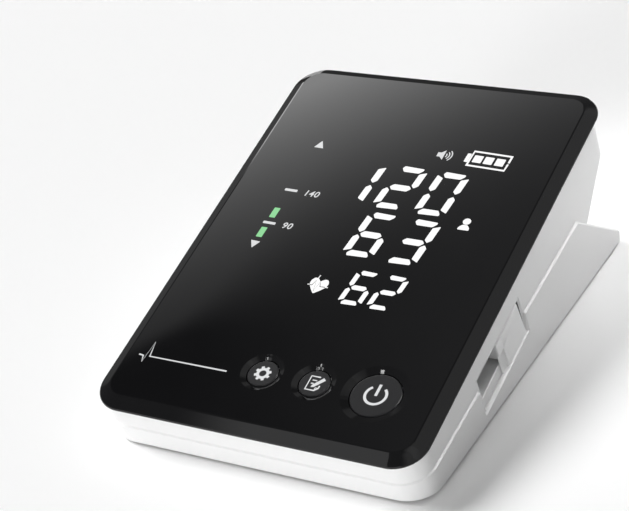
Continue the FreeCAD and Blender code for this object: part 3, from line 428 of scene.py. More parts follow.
CASING = MouldedPlastic("casing plastic", (0.87, 0.87, 0.87), 0.38)
# Whiter than the casing: painted light for the extra light that the cover's upward-tilted face catches.
COVER = MouldedPlastic("cover plastic painted lighter", (0.93, 0.93, 0.93), 0.36)
PANEL = PolishedPanel("panel sheet", (0.006, 0.006, 0.0065), 0.03)
CAP = MouldedPlastic("button plastic", (0.013, 0.013, 0.014), 0.34, 0.1, 0.05)
DARK_MOULDING = MouldedPlastic("dark moulding", (0.03, 0.03, 0.032), 0.5, 0.1)
DISPLAY = PolishedPanel("display glass", (0.012, 0.012, 0.013), 0.08)
TAPE = SoftRubber("bonding tape", (0.03, 0.03, 0.03), 0.8)
FITTING = MouldedPlastic("fitting plastic", (0.74, 0.74, 0.73), 0.45)
SENSOR = MouldedPlastic("sensor plastic", (0.72, 0.72, 0.7), 0.5)
TUBING = SoftRubber("silicone tubing", (0.7, 0.7, 0.68), 0.4, pore_scale=900.0, pore_depth=0.00002)
FOAM = SoftRubber("cradle foam", (0.11, 0.11, 0.12), 0.9, pore_scale=700.0, pore_depth=0.0002)
RUBBER = SoftRubber("foot rubber", (0.045, 0.045, 0.046), 0.75)
BOARD = BoardResist("board coating", (0.02, 0.14, 0.065), 0.39)
STEEL = PlatedMetal("plated steel", (0.62, 0.62, 0.63), 0.3)
SHELL_STEEL = PlatedMetal("socket shell", (0.6, 0.6, 0.61), 0.35, line_stretch=(0.08, 1.0, 1.0))
CELL = CellWrap("cell wrap", (0.05, 0.055, 0.065), 0.3)
WHITE_MARK = LitMark("white mark", (1.0, 1.0, 1.0), 0.3, 0.03, glow=0.97)
# Lit display marks; the printed pulse trace takes this glow too, as painted light.
SOFT_MARK = LitMark("soft white mark", (0.82, 0.83, 0.84), 0.3, 0.06)
GREEN_MARK = LitMark("green mark", (0.27, 0.72, 0.32), 0.3, 0.06, glow=0.85)
# The caps' signs are print, yet they glow: painted light.
GLOWING_ICON_PRINT = LitMark("button icon with painted glow", (0.86, 0.87, 0.88), 0.35, 0.05)
FLOOR = StudioPaper("floor paper", (0.985, 0.985, 0.985), 0.9)

DRESSED: tuple[tuple[Finish, str], ...] = (
    (PANEL, "face_panel"),
    (TAPE, "panel_tape"),
    (CASING, "upper_shell base_shell port_bay battery_door"),
    (COVER, "port_cover"),
    (CAP, "settings_button memory_button power_button"),
    (DARK_MOULDING, "settings_plunger memory_plunger power_plunger control_chip board_parts pump_head speaker"),
    (STEEL, "tact_switches board_screws pump_motor exhaust_valve battery_springs battery_plates case_screws"),
    (BOARD, "main_board"),
    (DISPLAY, "display_module"),
    (SHELL_STEEL, "charging_socket"),
    (FITTING, "air_sockets air_joint pump_tee"),
    (SENSOR, "pressure_sensors"),
    (FOAM, "pump_cradle"),
    (TUBING, "inflation_tube joint_sensor_tube pump_tube valve_tube supply_tube sensing_tube"),
    (CELL, "battery_cells"),
    (RUBBER, "rubber_feet"),
)
NODE_FINISHES: dict[str, Finish] = {node: finish for finish, nodes in DRESSED for node in nodes.split()}


@dataclass(frozen=True)
class FaceFrame:
    """The tilted face: y runs up the slope, z stands square to the panel's underside."""

    tilt: float = math.radians(15.0)
    front: float = -0.076643
    height: float = 0.0156
    panel_top: float = 0.0028

    def matrix(self, x: float = 0.0, y: float = 0.0, lift: float = 0.0) -> Matrix:
        """Where a mark's own frame sits: millimetres on the face, metres above the panel's top."""
        base = Matrix.Translation((0.0, self.front, self.height)) @ Matrix.Rotation(self.tilt, 4, "X")
        return base @ Matrix.Translation((x * MM, y * MM, self.panel_top + lift))


def shifted(centre: Point, turn: float = 0.0) -> Matrix:
    """A shift and a turn in a flat drawing."""
    return Matrix.Translation((*centre, 0.0)) @ Matrix.Rotation(turn, 4, "Z")


FACE = FaceFrame()
Glow = Callable[[NodeBook, Signal, Signal], Signal]


@dataclass
class Relief:
    """Thin raised marks that share one piece, drawn flat in millimetres."""

    thickness: float = 0.06
    mesh: bmesh.types.BMesh = field(default_factory=bmesh.new)
    figure_height: float = 3.5
    figure_turn: float = math.radians(-1.5)
    sector_gap: float = 0.005
    merge_gap: float = 0.0005

    def plate(self, corners: Sequence[Point], rounding: float = 0.0, place: Matrix = Matrix()) -> None:
        """Adds a flat plate.

        Args:
            corners: its outline.
            rounding: how far its corners are rounded off.
            place: a turn, slant or shift for the plate.
        """
        part = bmesh.new()
        points = [part.verts.new((x, y, 0.0)) for x, y in corners]
        part.faces.new(points)
        if rounding:
            bmesh.ops.bevel(
                part, geom=points, offset=rounding, offset_type="OFFSET", segments=3, profile=0.5,
                affect="VERTICES", material=-1,
            )
        self._thicken(part, place)

    def disc(self, centre: Point, radius: float) -> None:
        """Adds a round plate.

        Args:
            centre: its middle.
            radius: its radius.
        """
        part = bmesh.new()
        bmesh.ops.create_circle(part, cap_ends=True, radius=radius, segments=32, matrix=shifted(centre))
        self._thicken(part, Matrix())

    def ring_of(self, corners: Sequence[Point], count: int) -> None:
        """Adds one sector, repeated round the origin into a whole ring that is turned by half a sector.

        Args:
            corners: the sector's outline.
            count: how many sectors make the ring.
        """
        part = bmesh.new()
        sector = part.faces.new([part.verts.new((x, y, 0.0)) for x, y in corners])
        geometry = [sector, *sector.edges, *sector.verts]
        bmesh.ops.spin(
            part, geom=geometry, cent=(0, 0, 0), axis=(0, 0, 1), angle=math.tau * (count - 1) / count,
            steps=count - 1, use_duplicate=True,
        )
        bmesh.ops.remove_doubles(part, verts=part.verts[:], dist=self.sector_gap)
        self._thicken(part, Matrix.Rotation(math.pi / count, 4, "Z"))

    def stroke(self, points: Sequence[Point], width: float) -> None:
        """Adds a line of even width with rounded flanks.

        Args:
            points: the points it runs through.
            width: its width.
        """
        curve = bpy.data.curves.new("stroke", "CURVE")
        curve.dimensions = "3D"
        curve.bevel_depth = width / 2
        curve.bevel_resolution = 2
        curve.use_fill_caps = True
        spline = curve.splines.new("POLY")
        spline.points.add(len(points) - 1)
        for point, (x, y) in zip(spline.points, points):
            point.co = (x, y, 0.0, 1.0)
        self._take_curve(curve, Matrix.Diagonal((1.0, 1.0, self.thickness / width, 1.0)))

    def number(self, text: str, centre: Point) -> None:
        """Adds a plain number.

        Args:
            text: its figures.
            centre: its middle.
        """
        curve = bpy.data.curves.new("number", "FONT")
        curve.body = text
        curve.size = self.figure_height
        curve.align_x = curve.align_y = "CENTER"
        curve.shear = 0.12
        curve.space_character = 1.08
        curve.offset = 0.03
        curve.extrude = self.thickness / 2
        self._take_curve(curve, shifted(centre, self.figure_turn))

    def _take_curve(self, curve: bpy.types.Curve, place: Matrix) -> None:
        """Turns a curve into mesh and adds it, lifted to stand on the face.

        Args:
            curve: the curve, removed afterwards.
            place: where its middle plane goes.
        """
        holder = bpy.data.objects.new(curve.name, curve)
        bpy.context.scene.collection.objects.link(holder)
        graph = bpy.context.evaluated_depsgraph_get()
        mesh = bpy.data.meshes.new_from_object(holder.evaluated_get(graph))
        mesh.transform(Matrix.Translation((0, 0, self.thickness / 2)) @ place)
        self.mesh.from_mesh(mesh)
        bpy.data.objects.remove(holder)
        bpy.data.curves.remove(curve)
        bpy.data.meshes.remove(mesh)

    def _thicken(self, part: bmesh.types.BMesh, place: Matrix) -> None:
        """Gives a flat outline its thickness and adds it.

        Args:
            part: the flat outline, freed afterwards.
            place: where it goes.
        """
        bmesh.ops.recalc_face_normals(part, faces=part.faces[:])
        bmesh.ops.solidify(part, geom=part.faces[:], thickness=self.thickness)
        lowest = min(vertex.co.z for vertex in part.verts)
        bmesh.ops.translate(part, verts=part.verts[:], vec=(0.0, 0.0, -lowest))
        bmesh.ops.transform(part, matrix=place, verts=part.verts[:])
        bmesh.ops.recalc_face_normals(part, faces=part.faces[:])
        mesh = bpy.data.meshes.new("part")
        part.to_mesh(mesh)
        part.free()
        self.mesh.from_mesh(mesh)
        bpy.data.meshes.remove(mesh)

    def finish(
        self,
        name: str,
        look: Finish = WHITE_MARK,
        slot: Slot = Slot.WHITE_SEGMENT,
        body: Body = Body.HOUSING,
        place: Matrix = FACE.matrix(),
    ) -> None:
        """Makes the marks one piece.

        Args:
            name: the piece's name.
            look: its finish.
            slot: the record's slot that it belongs to.
            body: the body that it rides on.
            place: where the flat drawing sits, in the row frame.
        """
        bmesh.ops.remove_doubles(self.mesh, verts=self.mesh.verts[:], dist=self.merge_gap)
        bmesh.ops.transform(self.mesh, matrix=place @ Matrix.Scale(MM, 4), verts=self.mesh.verts[:])
        make_piece(name, self.mesh, look, body, slot)


def add_object(name: str, mesh: bmesh.types.BMesh) -> bpy.types.Object:
    """Puts a finished bmesh into the scene.

    Args:
        name: the object's name.
        mesh: its shape, freed afterwards.

    Returns:
        The object.
    """
    data = bpy.data.meshes.new(name)
    mesh.to_mesh(data)
    mesh.free()
    item = bpy.data.objects.new(name, data)
    bpy.context.scene.collection.objects.link(item)
    return item


def make_piece(
    name: str, mesh: bmesh.types.BMesh, look: Finish, body: Body, slot: Slot, smooth_angle: float = 0.6
) -> bpy.types.Object:
    """Turns a finished bmesh into a piece of the object.

    Args:
        name: the piece's name.
        mesh: its shape in the row frame, freed afterwards.
        look: its finish.
        body: the body that it rides on.
        slot: the record's slot that it belongs to; not used.
        smooth_angle: edges flatter than this are shaded smooth.

    Returns:
        The piece.
    """
    piece = add_object(name, mesh)
    piece.data.shade_smooth()
    piece.data.set_sharp_from_angle(angle=smooth_angle)
    piece.data.materials.append(look.material())
    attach(piece, body.value)
    LOG.info("%s: %d faces on %s", name, len(piece.data.polygons), body.value)
    return piece


@dataclass
class EasedSolids:
    """Moulded solids redrawn with their sharp outer edges eased, in millimetres."""

    solids: tuple[tuple[str, Body, Slot, float], ...] = (
        ("base_shell", Body.HOUSING, Slot.CASING, 0.55),
        ("port_bay", Body.HOUSING, Slot.CASING, 0.2),
        ("port_cover", Body.COVER, Slot.COVER, 0.2),
        ("face_panel", Body.HOUSING, Slot.PANEL, 0.25),
    )
    smooth_angle: float = 0.225
    merge_gap: float = 0.002
    flat_angle: float = math.radians(0.6)
    sharp_angle: float = math.radians(18.0)
    corner_middle: Point = (45.0, -66.8)
    corner_inside: float = 5.0

    def build(self) -> None:
        """Redraws every listed solid."""
        for solid in self.solids:
            self.ease(*solid)

    def is_outer(self, edge: bmesh.types.BMEdge) -> bool:
        """Whether an edge is sharp, stands out and lies near the casing's outline.

        Args:
            edge: an edge of the merged solid.

        Returns:
            True for an edge to ease.
        """
        if not edge.is_manifold or not edge.is_convex or edge.calc_face_angle() < self.sharp_angle:
            return False
        middle = (edge.verts[0].co + edge.verts[1].co) / (2 * MM)
        across, ahead = abs(middle.x) - self.corner_middle[0], self.corner_middle[1] - middle.y
        return math.hypot(max(across, 0.0), max(ahead, 0.0)) > self.corner_inside

    def ease(self, name: str, body: Body, slot: Slot, width: float) -> None:
        """Redraws one solid.

        Args:
            name: the solid's node.
            body: the body that it rides on.
            slot: the record's slot that it belongs to.
            width: how far its edges are eased.
        """
        mesh = bmesh.new()
        mesh.from_mesh(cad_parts[name].data)
        bmesh.ops.remove_doubles(mesh, verts=mesh.verts[:], dist=self.merge_gap * MM)
        bmesh.ops.dissolve_limit(mesh, angle_limit=self.flat_angle, verts=mesh.verts[:], edges=mesh.edges[:])
        edges = [edge for edge in mesh.edges if self.is_outer(edge)]
        bmesh.ops.bevel(
            mesh, geom=edges, offset=width * MM, offset_type="OFFSET", segments=1, profile=0.5,
            affect="EDGES", material=-1,
        )
        piece = make_piece(name + "_eased", mesh, NODE_FINISHES[name], body, slot, self.smooth_angle)
        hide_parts(name)
        LOG.info("%s: %d edges eased", name, len(edges))


@dataclass
class CoverGapShadow:
    """A dark wedge at the back of the port cover's track, painted shadow in the gap there, in millimetres in the face's
    frame.
    """

    floor: float = 53.42
    top: float = 53.85
    back: float = 73.38
    upper: float = -8.4
    lower: float = -20.9
    upper_width: float = 0.45
    lower_width: float = 1.05
    edge: float = 0.08

    def build(self) -> None:
        """Makes the dark wedge of painted shadow."""
        mesh = bmesh.new()
        corners = [(self.back - self.lower_width, self.lower), (self.back, self.lower), (self.back, self.upper),
                   (self.back - self.upper_width, self.upper)]
        base = mesh.faces.new([mesh.verts.new((self.floor, run, depth)) for run, depth in corners])
        grown = bmesh.ops.extrude_face_region(mesh, geom=[base])["geom"]
        raised = [item for item in grown if isinstance(item, bmesh.types.BMVert)]
        bmesh.ops.translate(mesh, verts=raised, vec=(self.top - self.floor, 0.0, 0.0))
        bmesh.ops.recalc_face_normals(mesh, faces=mesh.faces[:])
        bmesh.ops.bevel(
            mesh, geom=mesh.edges[:], offset=self.edge, offset_type="OFFSET", segments=2, profile=0.5,
            affect="EDGES", material=-1,
        )
        place = FACE.matrix(lift=-FACE.panel_top) @ Matrix.Scale(MM, 4)
        bmesh.ops.transform(mesh, matrix=place, verts=mesh.verts[:])
        # The dark rubber finish paints the gap's shadow: the wedge stands where there is only shade.
        make_piece("cover_gap_shadow", mesh, RUBBER, Body.HOUSING, Slot.RUBBER)


@dataclass(frozen=True)
class DigitRow:
    """Seven-bar digits in one slanted row, in millimetres on the face; large ones unless the sizes are given."""

    name: str
    digits: tuple[tuple[int, Point], ...]
    rise: float = 8.3
    reach: float = 4.28
    bar_length: float = 7.4
    bar_inner: float = 5.3
    bar_width: float = 2.4
    post_length: float = 7.2
    post_width: float = 2.3
    slant: float = math.tan(math.radians(4.9))
    turn: float = math.radians(-0.75)
    rounding: float = 0.3

    def outline(self, segment: Segment) -> tuple[list[Point], Point]:
        """One bar's outline and middle.

        Args:
            segment: which bar.

        Returns:
            Its corners about its middle, and the middle.
        """
        side, up = segment.value
        half, inner, wide = self.bar_length / 2, self.bar_inner / 2, self.bar_width / 2
        if segment in (Segment.TOP, Segment.BOTTOM):
            corners = [(-half + 0.12 * half, up * wide), (half, up * wide * 0.75), (half, up * wide * 0.1),
                       (inner, -up * wide), (-inner, -up * wide), (-half, up * wide * 0.1)]
            return corners, (0.0, up * self.rise)
        if segment is Segment.MIDDLE:
            corners = [(-half, 0.0), (-inner, wide), (inner, wide), (half, 0.1 * wide), (inner, -wide),
                       (-inner, -wide)]
            return corners, (0.0, 0.0)
        long, thick = self.post_length / 2, self.post_width / 2
        corners = [(side * thick, up * long), (side * thick, up * (thick - long)), (0.0, -up * long),
                   (-side * thick, up * (0.9 * thick - long)), (-side * thick, up * (long - 0.9 * thick))]
        return corners, (side * self.reach, up * self.rise / 2)

    def build(self) -> None:
        """Makes the row."""
        relief = Relief()
        lean = Matrix.Identity(4)
        lean[0][1] = self.slant
        for figure, centre in self.digits:
            base = shifted(centre, self.turn) @ lean
            for segment in sorted(LIT_SEGMENTS[figure], key=lambda item: item.value):
                corners, middle = self.outline(segment)
                relief.plate(corners, self.rounding, base @ shifted(middle))
        relief.finish(self.name)


@dataclass
class Display:
    """Everything that is lit on the panel."""

    rows: tuple[DigitRow, ...] = (
        DigitRow("upper_digits", ((1, (-9.4, 102.0)), (2, (5.13, 101.9)), (0, (19.7, 101.6)))),
        DigitRow("lower_digits", ((6, (4.4, 80.75)), (3, (19.1, 80.4)))),
        DigitRow(
            "pulse_digits", ((6, (10.3, 59.2)), (2, (20.06, 59.2))), rise=6.1, reach=3.2, bar_length=5.25,
            bar_inner=3.8, bar_width=1.75, post_length=5.3, post_width=1.6, rounding=0.2,
        ),
    )

    def build(self) -> None:
        """Makes the digits, the pictograms and the range bar."""
        for row in self.rows:
            row.build()
        self.build_battery_sign()
        self.build_sound_sign()
        self.build_user_sign()
        self.build_heart()
        self.build_range_marks()
        self.build_range_bars()
        self.build_pulse_trace()

    def build_battery_sign(self) -> None:
        """Makes the charge sign: an outline with its nub on the left and three bars."""
        relief = Relief()
        turn = shifted((29.1, 118.2), math.radians(-2.2))
        half, tall, line, lean = 6.9, 3.5, 0.65, 0.25
        bars = [
            [(-half + line, tall - line), (half - lean, tall - line), (half, tall), (-half + lean, tall)],
            [(-half, -tall), (half - lean, -tall), (half - line, -tall + line), (-half + line, -tall + line)],
            [(-half, -tall), (-half + line, -tall + line), (-half + line, tall - line), (-half + lean, tall)],
            [(half - line, 0.25), (half, 0.25), (half, tall), (half - line, tall - line)],
            [(half - line, -tall + line), (half - lean, -tall), (half, -0.25), (half - line, -0.25)],
        ]
        for corners in bars:
            relief.plate(corners, 0.0, turn)
        relief.plate([(-half - 1.3, -1.9), (-half, -1.9), (-half, 1.9), (-half - 1.3, 1.9)], 0.3, turn)
        for middle in (-4.0, -0.2, 3.7):
            corners = [(middle - 1.5, -1.55), (middle + 1.5, -1.55), (middle + 1.5, 1.55), (middle - 1.5, 1.55)]
            relief.plate(corners, 0.15, turn)
        relief.finish("battery_sign")

    def build_sound_sign(self) -> None:
        """Makes the loudspeaker sign: a horn and three sound waves."""
        relief = Relief()
        relief.plate([(11.0, 117.5), (12.1, 117.5), (13.4, 116.2), (13.4, 120.5), (12.1, 119.3), (11.0, 119.3)])
        for radius, spread in ((1.1, 42.0), (2.0, 45.0), (2.9, 47.0)):
            angles = [math.radians(-spread + 2 * spread * step / 8) for step in range(9)]
            points = [(13.2 + radius * math.cos(a), 118.35 + radius * math.sin(a)) for a in angles]
            relief.stroke(points, 0.4)
        relief.finish("sound_sign", SOFT_MARK)

    def build_user_sign(self) -> None:
        """Makes the user sign: a head over shoulders."""
        relief = Relief()
        relief.disc((32.45, 91.75), 1.3)
        relief.plate(
            [(30.5, 88.15), (34.35, 88.15), (34.2, 89.2), (33.3, 90.25), (31.6, 90.25), (30.7, 89.2)], 0.3
        )
        relief.finish("user_sign")

    def build_heart(self) -> None:
        """Makes the heart and the pulse line that crosses it."""
        relief = Relief()
        right = [(0.0, -3.6), (1.7, -1.9), (3.0, -0.2), (3.1, 1.3), (2.4, 2.5), (1.3, 2.6), (0.35, 1.8)]
        left = [(-x, y) for x, y in reversed(right[1:])]
        tilt = shifted((-3.1, 57.9), math.radians(-4.0))
        relief.plate(right + [(0.0, 1.3)] + left, 0.35, tilt)
        relief.stroke([(-6.7, 57.6), (-6.0, 57.6)], 0.3)
        relief.stroke([(-0.2, 57.4), (0.5, 57.4)], 0.3)
        relief.stroke([(-4.3, 60.5), (-4.1, 61.8)], 0.3)
        relief.finish("heart_sign")
        line = Relief(0.1)
        beat = [(-5.9, 57.5), (-5.1, 57.5), (-4.5, 59.6), (-3.6, 55.2), (-2.9, 59.1), (-2.2, 57.3), (-0.5, 57.4)]
        line.stroke(beat, 0.34)
        line.finish("heart_line", DISPLAY, Slot.DISPLAY)

    def build_range_marks(self) -> None:
        """Makes the scale at the left: two end arrows, two dashes and their plain numbers."""
        relief = Relief()
        relief.plate([(-32.3, 114.8), (-28.9, 114.7), (-30.6, 118.0)], 0.15)
        relief.plate([(-33.95, 71.5), (-32.25, 68.4), (-30.55, 71.3)], 0.15)
        for left, right, level in ((-33.2, -28.6, 94.6), (-33.7, -29.2, 79.6)):
            corners = [(left, level - 0.45), (right, level - 0.55), (right, level + 0.45), (left, level + 0.55)]
            relief.plate(corners, 0.2)
        relief.number("140", (-23.2, 94.1))
        relief.number("90", (-24.8, 79.3))
        relief.finish("range_scale", SOFT_MARK)

    def build_range_bars(self) -> None:
        """Makes the two green bars beside the scale."""
        relief = Relief()
        for left, low in ((-32.85, 82.0), (-33.2, 73.2)):
            relief.plate([(left, low), (left + 2.1, low), (left + 2.2, low + 4.3), (left + 0.1, low + 4.3)], 0.2)
        relief.finish("range_bars", GREEN_MARK, Slot.GREEN_SEGMENT)

    def build_pulse_trace(self) -> None:
        """Makes the printed pulse trace at the lower left, glowing like the display's marks: painted light on print."""
        relief = Relief()
        relief.stroke([(-47.0, 20.1), (-45.4, 19.9), (-44.7, 17.6), (-44.1, 25.6), (-43.1, 20.0), (-15.75, 20.0)], 0.55)
        # A glow on print: painted light.
        relief.finish("pulse_trace", SOFT_MARK, Slot.PRINT)


@dataclass
class ButtonIcons:
    """The signs on the three caps, in millimetres about each cap's middle."""

    run: float = 22.3
    settings_x: float = -4.7
    memory_x: float = 12.7
    power_x: float = 32.7
    sink: float = -0.00075

    def build(self) -> None:
        """Makes all three signs."""
        self.build_gear()
        self.build_memo()
        self.build_power()

    def finish(self, relief: Relief, name: str, body: Body, x: float) -> None:
        """Lays a sign on its cap: white print with a painted glow."""
        relief.finish(name, GLOWING_ICON_PRINT, Slot.PRINT, body, FACE.matrix(x, self.run, self.sink))

    def build_gear(self) -> None:
        """Makes the settings sign: an eight-toothed wheel."""
        relief = Relief(0.05)

        def polar(radius: float, degrees: float) -> Point:
            """A point by radius and angle."""
            return radius * math.cos(math.radians(degrees)), radius * math.sin(math.radians(degrees))

        sector = [
            polar(1.15, -22.5), polar(1.15, 0.0), polar(1.15, 22.5), polar(2.05, 22.5), polar(2.1, 13.0),
            polar(2.7, 9.5), polar(2.7, -9.5), polar(2.1, -13.0), polar(2.05, -22.5),
        ]
        relief.ring_of(sector, 8)
        self.finish(relief, "settings_sign", Body.SETTINGS, self.settings_x)

    def build_memo(self) -> None:
        """Makes the memory sign: a sheet with lines and a pen."""
        relief = Relief(0.05)
        relief.stroke([(1.0, 2.5), (-2.0, 2.5), (-2.0, -2.5), (1.0, -2.5), (2.0, -1.5), (2.0, -0.5)], 0.5)
        relief.stroke([(1.0, -2.4), (1.0, -1.5), (1.9, -1.5)], 0.4)
        relief.stroke([(-1.1, 1.1), (0.4, 1.1)], 0.4)
        relief.stroke([(-1.1, -0.1), (-0.2, -0.1)], 0.4)
        relief.plate([(-0.6, -1.5), (0.4, -1.25), (3.0, 1.7), (2.15, 2.45), (-0.45, -0.6)], 0.1)
        self.finish(relief, "memory_sign", Body.MEMORY, self.memory_x)

    def build_power(self) -> None:
        """Makes the power sign: an open ring and a bar."""
        relief = Relief(0.05)
        angles = [math.radians(128.0 + 284.0 * step / 40) for step in range(41)]
        relief.stroke([(3.25 * math.cos(a), 3.25 * math.sin(a)) for a in angles], 0.85)
        relief.stroke([(0.0, 4.0), (0.0, -0.2)], 0.9)
        self.finish(relief, "power_sign", Body.POWER, self.power_x)


@dataclass(frozen=True)
class Sun:
    """A far lamp: its strength, its breadth in degrees and the way back along its beam."""

    name: str
    strength: float
    breadth: float
    from_where: Triple


@dataclass(frozen=True)
class LitPlace:
    """A lit part of the room in polished faces: spans to the right, ahead and up, each low, high and soft."""

    strength: float
    side: Triple
    ahead: Triple
    height: Triple

    def glow(self, book: NodeBook, way: Sequence[Signal]) -> Signal:
        """Its light from a direction, given as the way to the right, ahead and up."""
        spans = zip(way, (self.side, self.ahead, self.height))
        return math.prod((book.window(value, *span) for value, span in spans), start=self.strength)


@dataclass(frozen=True)
class Dish:
    """A button's dish, in millimetres, and where a glint shows round it, in degrees."""

    name: str
    x: float
    radius: float
    width: float
    glint_at: float


@dataclass
class Studio:
    """The floor, the light and the camera; cards are laid out in picture points from the picture's middle."""

    right: Vector = Vector((0.86705743, 0.47676575, -0.14458852)).freeze()
    up: Vector = Vector((-0.13636198, 0.50623857, 0.85154443)).freeze()
    back: Vector = Vector((0.47918351, -0.71862155, 0.50395063)).freeze()
    position: Vector = Vector((0.26776145, -0.42696243, 0.32821118)).freeze()
    lens: float = 107.889
    sensor_width: float = 36.0
    clip_start: float = 0.01
    focal_pixels: float = 1885.06
    suns: tuple[Sun, ...] = (
        Sun("key", 2.7, 32.0, (-0.635, -0.1, 0.766)),
        Sun("low", 1.7, 18.0, (-0.08, -0.985, 0.14)),
    )
    fill_power: float = 0.032
    fill_size: float = 0.06
    fill_spread: float = math.radians(60.0)
    fill_place: Vector = Vector((0.12, 0.14, 0.2)).freeze()
    fill_aim: Vector = Vector((0.07, 0.07, 0.0)).freeze()
    wall_light: float = 0.3
    roof_light: float = 0.2
    roof_height: float = 0.8
    mirrored_roof: float = 0.07
    mirrored_right: float = 0.36
    right_edge: float = 0.22
    band_edge: float = -0.04
    lit_places: tuple[LitPlace, ...] = (
        LitPlace(0.14, (-1.0, -0.68, 0.05), (0.3, 0.62, 0.06), (-1.0, 0.26, 0.1)),  # low at the left
        LitPlace(4.5, (-1.0, -0.68, 0.05), (0.5, 0.64, 0.03), (0.455, 0.49, 0.015)),  # strip at the left
        LitPlace(0.16, (0.02, 0.3, 0.08), (-0.2, -0.02, 0.06), (0.45, 1.0, 0.15)),  # overhead
        LitPlace(0.16, (-0.3, -0.15, 0.06), (0.72, 0.87, 0.05), (0.45, 1.0, 0.15)),  # behind the object
        LitPlace(18.0, (0.6, 0.82, 0.06), (0.3, 0.64, 0.06), (0.42, 0.62, 0.06)),  # strip at the right
    )
    floor_half: float = 3.0
    card_distance: float = 1.2
    panel_half: float = 314.0
    panel_fall: Point = (186.0, 77.0)
    panel_level: float = 0.36
    panel_most: float = 3.3
    panel_haze: float = 0.16
    edge_slant: float = 0.512
    edge_blur: float = 120.0
    rim_run: float = 2.0
    rim_lift: float = -0.001
    rim_slope: float = math.atan2(2.0, 4.0)
    rim_middle: Point = (-15.0, -184.0)
    rim_turn: float = math.radians(-15.0)
    rim_half: Point = (190.0, 22.0)
    rim_dark: float = 0.07
    rim_level: float = 0.7
    dishes: tuple[Dish, ...] = (
        Dish("settings_glint", ButtonIcons.settings_x, 5.05, 1.65, 104.5),
        Dish("memory_glint", ButtonIcons.memory_x, 5.05, 1.65, 104.5),
        Dish("power_glint", ButtonIcons.power_x, 8.05, 2.35, 101.0),
    )
    dish_depth: float = 0.9
    glint_offset: float = 0.5
    glint_half: float = 0.0004
    glint_width: float = 0.0009
    glint_distance: float = 0.1
    glint_strength: float = 14.0

    def build(self) -> None:
        """Sets the stage."""
        self.set_camera()
        self.hang_lamps()
        self.light_world()
        self.add_prop("floor", self.floor_half).data.materials.append(FLOOR.material())
        whole = Matrix.Diagonal((self.panel_half, self.panel_half, 1.0, 1.0))
        self.hang_card("panel_light", FACE.matrix(), whole, self.panel_glow)
        rim = FACE.matrix(0.0, self.rim_run, self.rim_lift) @ Matrix.Rotation(self.rim_slope, 4, "X")
        strip = shifted(self.rim_middle, self.rim_turn) @ Matrix.Diagonal((*self.rim_half, 1.0, 1.0))
        self.hang_card("rim_light", rim, strip, self.rim_glow)
        for dish in self.dishes:
            self.hang_glint(dish)

    def set_camera(self) -> None:
        """Puts the camera where the picture was taken from."""
        data = bpy.data.cameras.new("camera")
        data.sensor_width = self.sensor_width
        data.sensor_fit = "HORIZONTAL"
        data.lens = self.lens
        data.clip_start = self.clip_start
        camera = bpy.data.objects.new("camera", data)
        turn = Matrix((self.right, self.up, self.back)).transposed().to_4x4()
        camera.matrix_world = Matrix.Translation(self.position) @ turn
        bpy.context.scene.collection.objects.link(camera)
        bpy.context.scene.camera = camera

    def hang_lamps(self) -> None:
        """Hangs a broad key light at the upper left, a low light at the front and a small fill at the back right."""
        for sun in self.suns:
            light = bpy.data.lights.new(sun.name, "SUN")
            light.energy = sun.strength
            light.angle = math.radians(sun.breadth)
            self.aim_lamp(light, Vector(), Vector(sun.from_where))
        fill = bpy.data.lights.new("fill", "AREA")
        fill.energy = self.fill_power
        fill.size = self.fill_size
        fill.spread = self.fill_spread
        self.aim_lamp(fill, self.fill_place, self.fill_place - self.fill_aim)

    @staticmethod
    def aim_lamp(light: bpy.types.Light, place: Vector, from_where: Vector) -> None:
        """Hangs one lamp that only matt surfaces see.

        Args:
            light: the lamp's light.
            place: where it hangs.
            from_where: the way back along its beam.
        """
        lamp = bpy.data.objects.new(light.name, light)
        lamp.location = place
        lamp.rotation_euler = from_where.to_track_quat("Z", "Y").to_euler()
        lamp.visible_camera = lamp.visible_glossy = False
        bpy.context.scene.collection.objects.link(lamp)

    def light_world(self) -> None:
        """Lights the room softly; polished faces mirror it as a dark ceiling over a pale band, with lit places."""
        world = bpy.data.worlds.new("room")
        world.use_nodes = True
        bpy.context.scene.world = world
        book = NodeBook(world.node_tree)
        side, ahead, height = book.axes(book.add("TexCoord").outputs["Generated"])
        room = self.wall_light + book.step(height, 0.0, self.roof_height) * (self.roof_light - self.wall_light)
        look = self.mirrored_roof + book.step(height, 0.0, self.band_edge) * (1.0 - self.mirrored_roof)
        look = look + book.step(side, 0.0, self.right_edge) * self.mirrored_right
        for place in self.lit_places:
            look = look + place.glow(book, (side, ahead, height))
        mirrored = book.seen_by("Glossy", "Transmission") * (look - room)
        strength = room + book.seen_by("Camera") * (1.0 - room) + mirrored
        shade = book.add("Background", {"Color": (1.0, 1.0, 1.0, 1.0), "Strength": strength})
        book.add("OutputWorld", {"Surface": shade.outputs[0]})

    def hang_card(self, name: str, mirror: Matrix, place: Matrix, glow: Glow) -> None:
        """Hangs a lit card where a flat polished face mirrors it into the picture.

        Args:
            name: the card's name.
            mirror: the face's own frame, its z axis square to it.
            place: the card's middle, turn and half sizes, in picture points.
            glow: gives the card's strength from the point across and up the picture.
        """
        origin, normal = mirror.to_translation(), mirror.to_3x3().col[2].normalized()
        flip = Matrix.Scale(-1.0, 3, normal)
        eye = origin + flip @ (self.position - origin)
        right, up, back = flip @ self.right, flip @ self.up, flip @ self.back
        pixel = self.card_distance / self.focal_pixels
        card = self.add_prop(name, 1.0, Matrix.Scale(pixel, 4) @ place)
        turn = Matrix((right, up, right.cross(up))).transposed().to_4x4()
        card.matrix_world = Matrix.Translation(eye - back * self.card_distance) @ turn

        def strength(book: NodeBook) -> Signal:
            """The glow at each point of the card."""
            across, rise, _ = book.axes(book.place())
            return glow(book, across * (1 / pixel), rise * (1 / pixel))

        self.light_card(card, strength)

